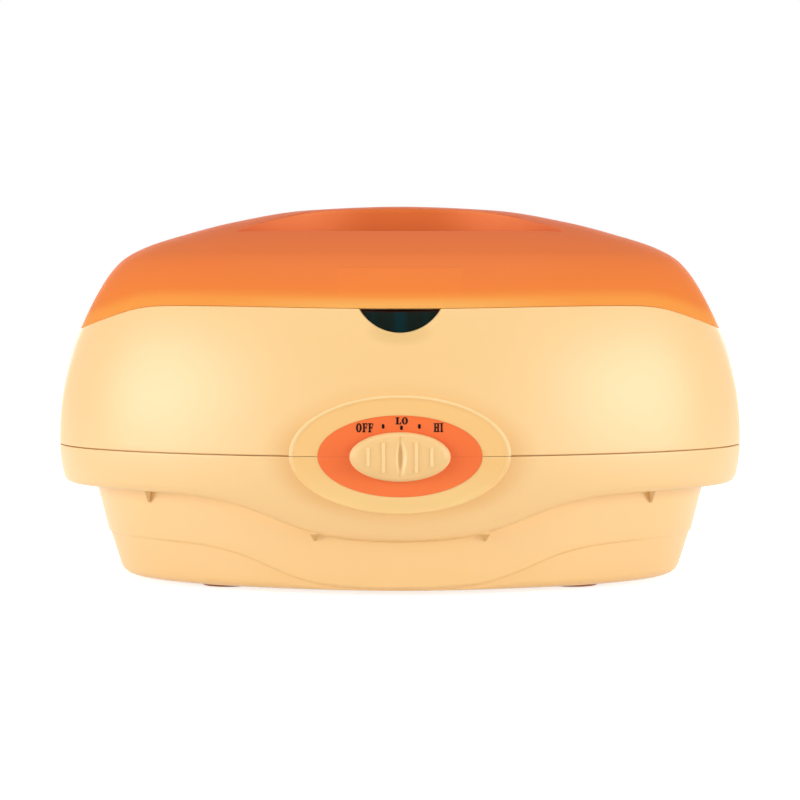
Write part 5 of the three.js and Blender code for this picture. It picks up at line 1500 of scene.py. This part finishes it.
def grille_piece():
    outer = (GRILLE_HALF_LENGTH, GRILLE_HALF_DEPTH)
    inner = (GRILLE_HALF_LENGTH - GRILLE_RING[0], GRILLE_HALF_DEPTH - GRILLE_RING[1])

    def ring_row(half, inset, height):
        return oval_row((half[0] - inset, half[1] - inset), height, TANK_AROUND)

    rows = [ring_row(outer, 0.0, GRILLE_LOW + 0.5)]
    rows += [ring_row(outer, inset, GRILLE_HIGH - drop) for inset, drop in GRILLE_ROUND]
    rows += [ring_row(inner, -inset, GRILLE_HIGH - drop) for inset, drop in reversed(GRILLE_ROUND)]
    rows += [ring_row(inner, 0.0, GRILLE_LOW + 0.5), ring_row(inner, -0.5, GRILLE_LOW),
             ring_row(outer, 0.5, GRILLE_LOW)]
    ring = loft("grille_ring", rows, endless=True)
    bars = grown("grille_bars", grille_tree("grille bars", grille_finish), {
        "Bars": BARS, "Pitch": BAR_PITCH * MM, "Bar Width": BAR_WIDE * MM, "Bar Height": BAR_THICK * MM,
        "Half Length": (GRILLE_HALF_LENGTH - BAR_SHORT) * MM,
        "Half Depth": (GRILLE_HALF_DEPTH - BAR_SHORT) * MM, "Height": BAR_MIDDLE * MM,
    })
    spine_end = GRILLE_HALF_LENGTH - SPINE_SHORT
    spine = box_piece("grille_spine", (-spine_end, spine_end), (-SPINE_HALF, SPINE_HALF), SPINE_LEVELS)
    x, y, z = GRILLE_FEET
    feet = [turned("grille_foot", GRILLE_FOOT, (sx * x, sy * y, z), 28) for sx in (-1, 1) for sy in (-1, 1)]
    return joined("tank_grille_bars", [ring, bevelled(bars, 0.45), bevelled(spine, 0.35)] + feet)


finished(grille_piece(), grille_finish, "grille_body", "grille_plastic", "tank_grille")


# Feet and gland

for k, (x, y) in enumerate(FEET, 1):
    foot = turned(f"rubber_foot_{k}", FOOT_PROFILE, (x, y, 0), 64, stretch=FOOT_STRETCH)
    finished(foot, foot_finish, "housing", "foot_rubber", f"foot_{k}")

gland = turned("cord_gland_ring", [
    (GLAND_BORE, GLAND_INSIDE), (GLAND_NECK - 0.4, GLAND_INSIDE), (GLAND_NECK, GLAND_INSIDE + 0.4),
    (GLAND_NECK, GLAND_FACE), (GLAND_RIM, GLAND_FACE), (GLAND_RIM, GLAND_FACE + 1.3),
    (GLAND_RIM - 0.4, GLAND_FACE + 1.9), (7.2, GLAND_FACE + 2.1), (6.6, GLAND_FACE + GLAND_FLANGE),
    (4.6, GLAND_FACE + GLAND_FLANGE), (GLAND_BORE + 0.1, GLAND_FACE + 2.2), (GLAND_BORE, GLAND_FACE + 1.6),
], (0, 0, GLAND_HIGH), 64, lying=True)
finished(gland, gland_finish, "housing", "gland_plastic", "cord_gland")


# Inner parts keep their solids and are only dressed

CARRIED = (
    (white_finish, ("lamp_tray", "slider_carriage", "thermostat_lever")),
    (lamp_finish, ("neon_lamp",)),
    (seal_finish, ("tank_gasket",)),
    (heater_finish, ("heater_band",)),
    (ceramic_finish, ("thermostat", "terminal_block")),
    (steel_finish, ("thermostat_strap", "strap_nut_1", "strap_nut_2", "thermal_fuse", "fuse_clip", "fuse_nut",
                    "terminal_screw_1", "terminal_screw_2", "terminal_screw_3", "carriage_screw")),
    (lead_finish, ("heater_lead", "fuse_lead", "thermostat_lead")),
    (brass_finish, ("thermostat_spindle", "lever_nut")),
)
for material, names in CARRIED:
    for name in names:
        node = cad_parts[name]
        node.data.materials.clear()
        node.data.materials.append(material)


# Camera, lights and floor, in metres, but for the first three, which are in the picture's pixels

PICTURE_WIDTH, FOCAL_LENGTH, EYE_DROP = 800, 2367, 120
EYE_BACK, EYE_HIGH = 1.340, 0.1675
# Place, target, width and height, and power of each soft light
SOFT_LIGHTS = {
    "left_softbox": ((-1.4, -0.8, 0.28), (0, 0, 0.08), (1.2, 1.2), 18.7),
    "right_softbox": ((1.4, -0.8, 0.28), (0, 0, 0.08), (1.2, 1.2), 18.4),
    "top_softbox": ((0, -0.4, 1.5), (0, 0, 0.1), (1.6, 1.0), 6.3),
    "front_softbox": ((0, -2.0, 0.2), (0, 0, 0.08), (1.6, 0.6), 1.2),
    "back_softbox": ((0, 1.9, 0.5), (0, 0, 0.08), (2.4, 0.9), 15),
}
WHITE = (1, 1, 1, 1)


def aim(item, place, target):
    item.location = place
    item.rotation_euler = (Vector(target) - Vector(place)).to_track_quat("-Z", "Y").to_euler()


camera_data = bpy.data.cameras.new("camera")
camera_data.sensor_width = 36
camera_data.lens = camera_data.sensor_width * FOCAL_LENGTH / PICTURE_WIDTH
camera = linked("camera", camera_data)
aim(camera, (0, SHIFT - EYE_BACK, EYE_HIGH), (0, SHIFT, EYE_HIGH - EYE_BACK * EYE_DROP / FOCAL_LENGTH))
bpy.context.scene.camera = camera
bpy.context.scene.view_settings.view_transform = "Standard"

for name, (place, target, (width, height), power) in SOFT_LIGHTS.items():
    light = bpy.data.lights.new(name, "AREA")
    light.shape = "RECTANGLE"
    light.size = width
    light.size_y = height
    light.energy = power
    aim(linked(name, light), place, target)


def seen(tree):
    """One where a ray comes from the camera, a reflection or a clear piece."""
    path = add(tree, "ShaderNodeLightPath")
    kinds = ("Is Camera Ray", "Is Transmission Ray", "Is Glossy Ray")
    camera_ray, through, glossy = (Field(tree, path.outputs[kind]) for kind in kinds)
    return (camera_ray + through + glossy).reckon("MINIMUM", 1.0)


def two_shaders(tree, kind, *values):
    """A node that adds or mixes, with its inputs fed in their order."""
    node = add(tree, kind)
    for socket, value in zip(node.inputs, values):
        feed(tree, value, socket)
    return node.outputs[0]


def studio_world():
    """A dim sky that lights the bath, and plain white where it is seen."""
    world = bpy.data.worlds.new("studio")
    world.use_nodes = True
    tree = world.node_tree
    tree.nodes.clear()
    sky = shape(tree, "ShaderNodeBackground", {"Color": WHITE, "Strength": 0.24})
    white = shape(tree, "ShaderNodeBackground", {"Color": WHITE, "Strength": 1.0})
    chosen = two_shaders(tree, "ShaderNodeMixShader", seen(tree), sky, white)
    feed(tree, chosen, add(tree, "ShaderNodeOutputWorld").inputs["Surface"])
    return world


def floor_material():
    """A pale floor that stays white to the eye and still keeps the object's shadow."""
    material = bpy.data.materials.new("pale floor")
    material.use_nodes = True
    tree = material.node_tree
    tree.nodes.clear()
    matte = shape(tree, "ShaderNodeBsdfDiffuse", {"Color": (0.85, 0.85, 0.85, 1)})
    place = add(tree, "ShaderNodeTexCoord").outputs["Object"]
    nearer = shape(tree, "ShaderNodeMapping", {"Vector": place, "Scale": (0.6, 1, 1)})
    distance = add(tree, "ShaderNodeVectorMath", operation="LENGTH")
    feed(tree, nearer, distance.inputs[0])
    far = Field(tree, distance.outputs["Value"]).fade(0.1, 0.24, 0.74, 1.0)
    lift = shape(tree, "ShaderNodeEmission", {"Color": WHITE, "Strength": seen(tree) * far})
    both = two_shaders(tree, "ShaderNodeAddShader", matte, lift)
    # From below the floor lets the underside be seen
    below = add(tree, "ShaderNodeNewGeometry").outputs["Backfacing"]
    clear = add(tree, "ShaderNodeBsdfTransparent").outputs[0]
    side = two_shaders(tree, "ShaderNodeMixShader", below, both, clear)
    feed(tree, side, add(tree, "ShaderNodeOutputMaterial").inputs["Surface"])
    return material


bpy.context.scene.world = studio_world()
floor_mesh = bpy.data.meshes.new("floor")
floor_mesh.from_pydata([(-4, -4, 0), (4, -4, 0), (4, 4, 0), (-4, 4, 0)], [], [(0, 1, 2, 3)])
floor_mesh.materials.append(floor_material())
floor = linked("floor", floor_mesh)
floor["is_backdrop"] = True

as_lists = lambda box: [list(map(float, corner)) for corner in box]
{"cad": as_lists(cad_box), "visual": as_lists(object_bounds())}
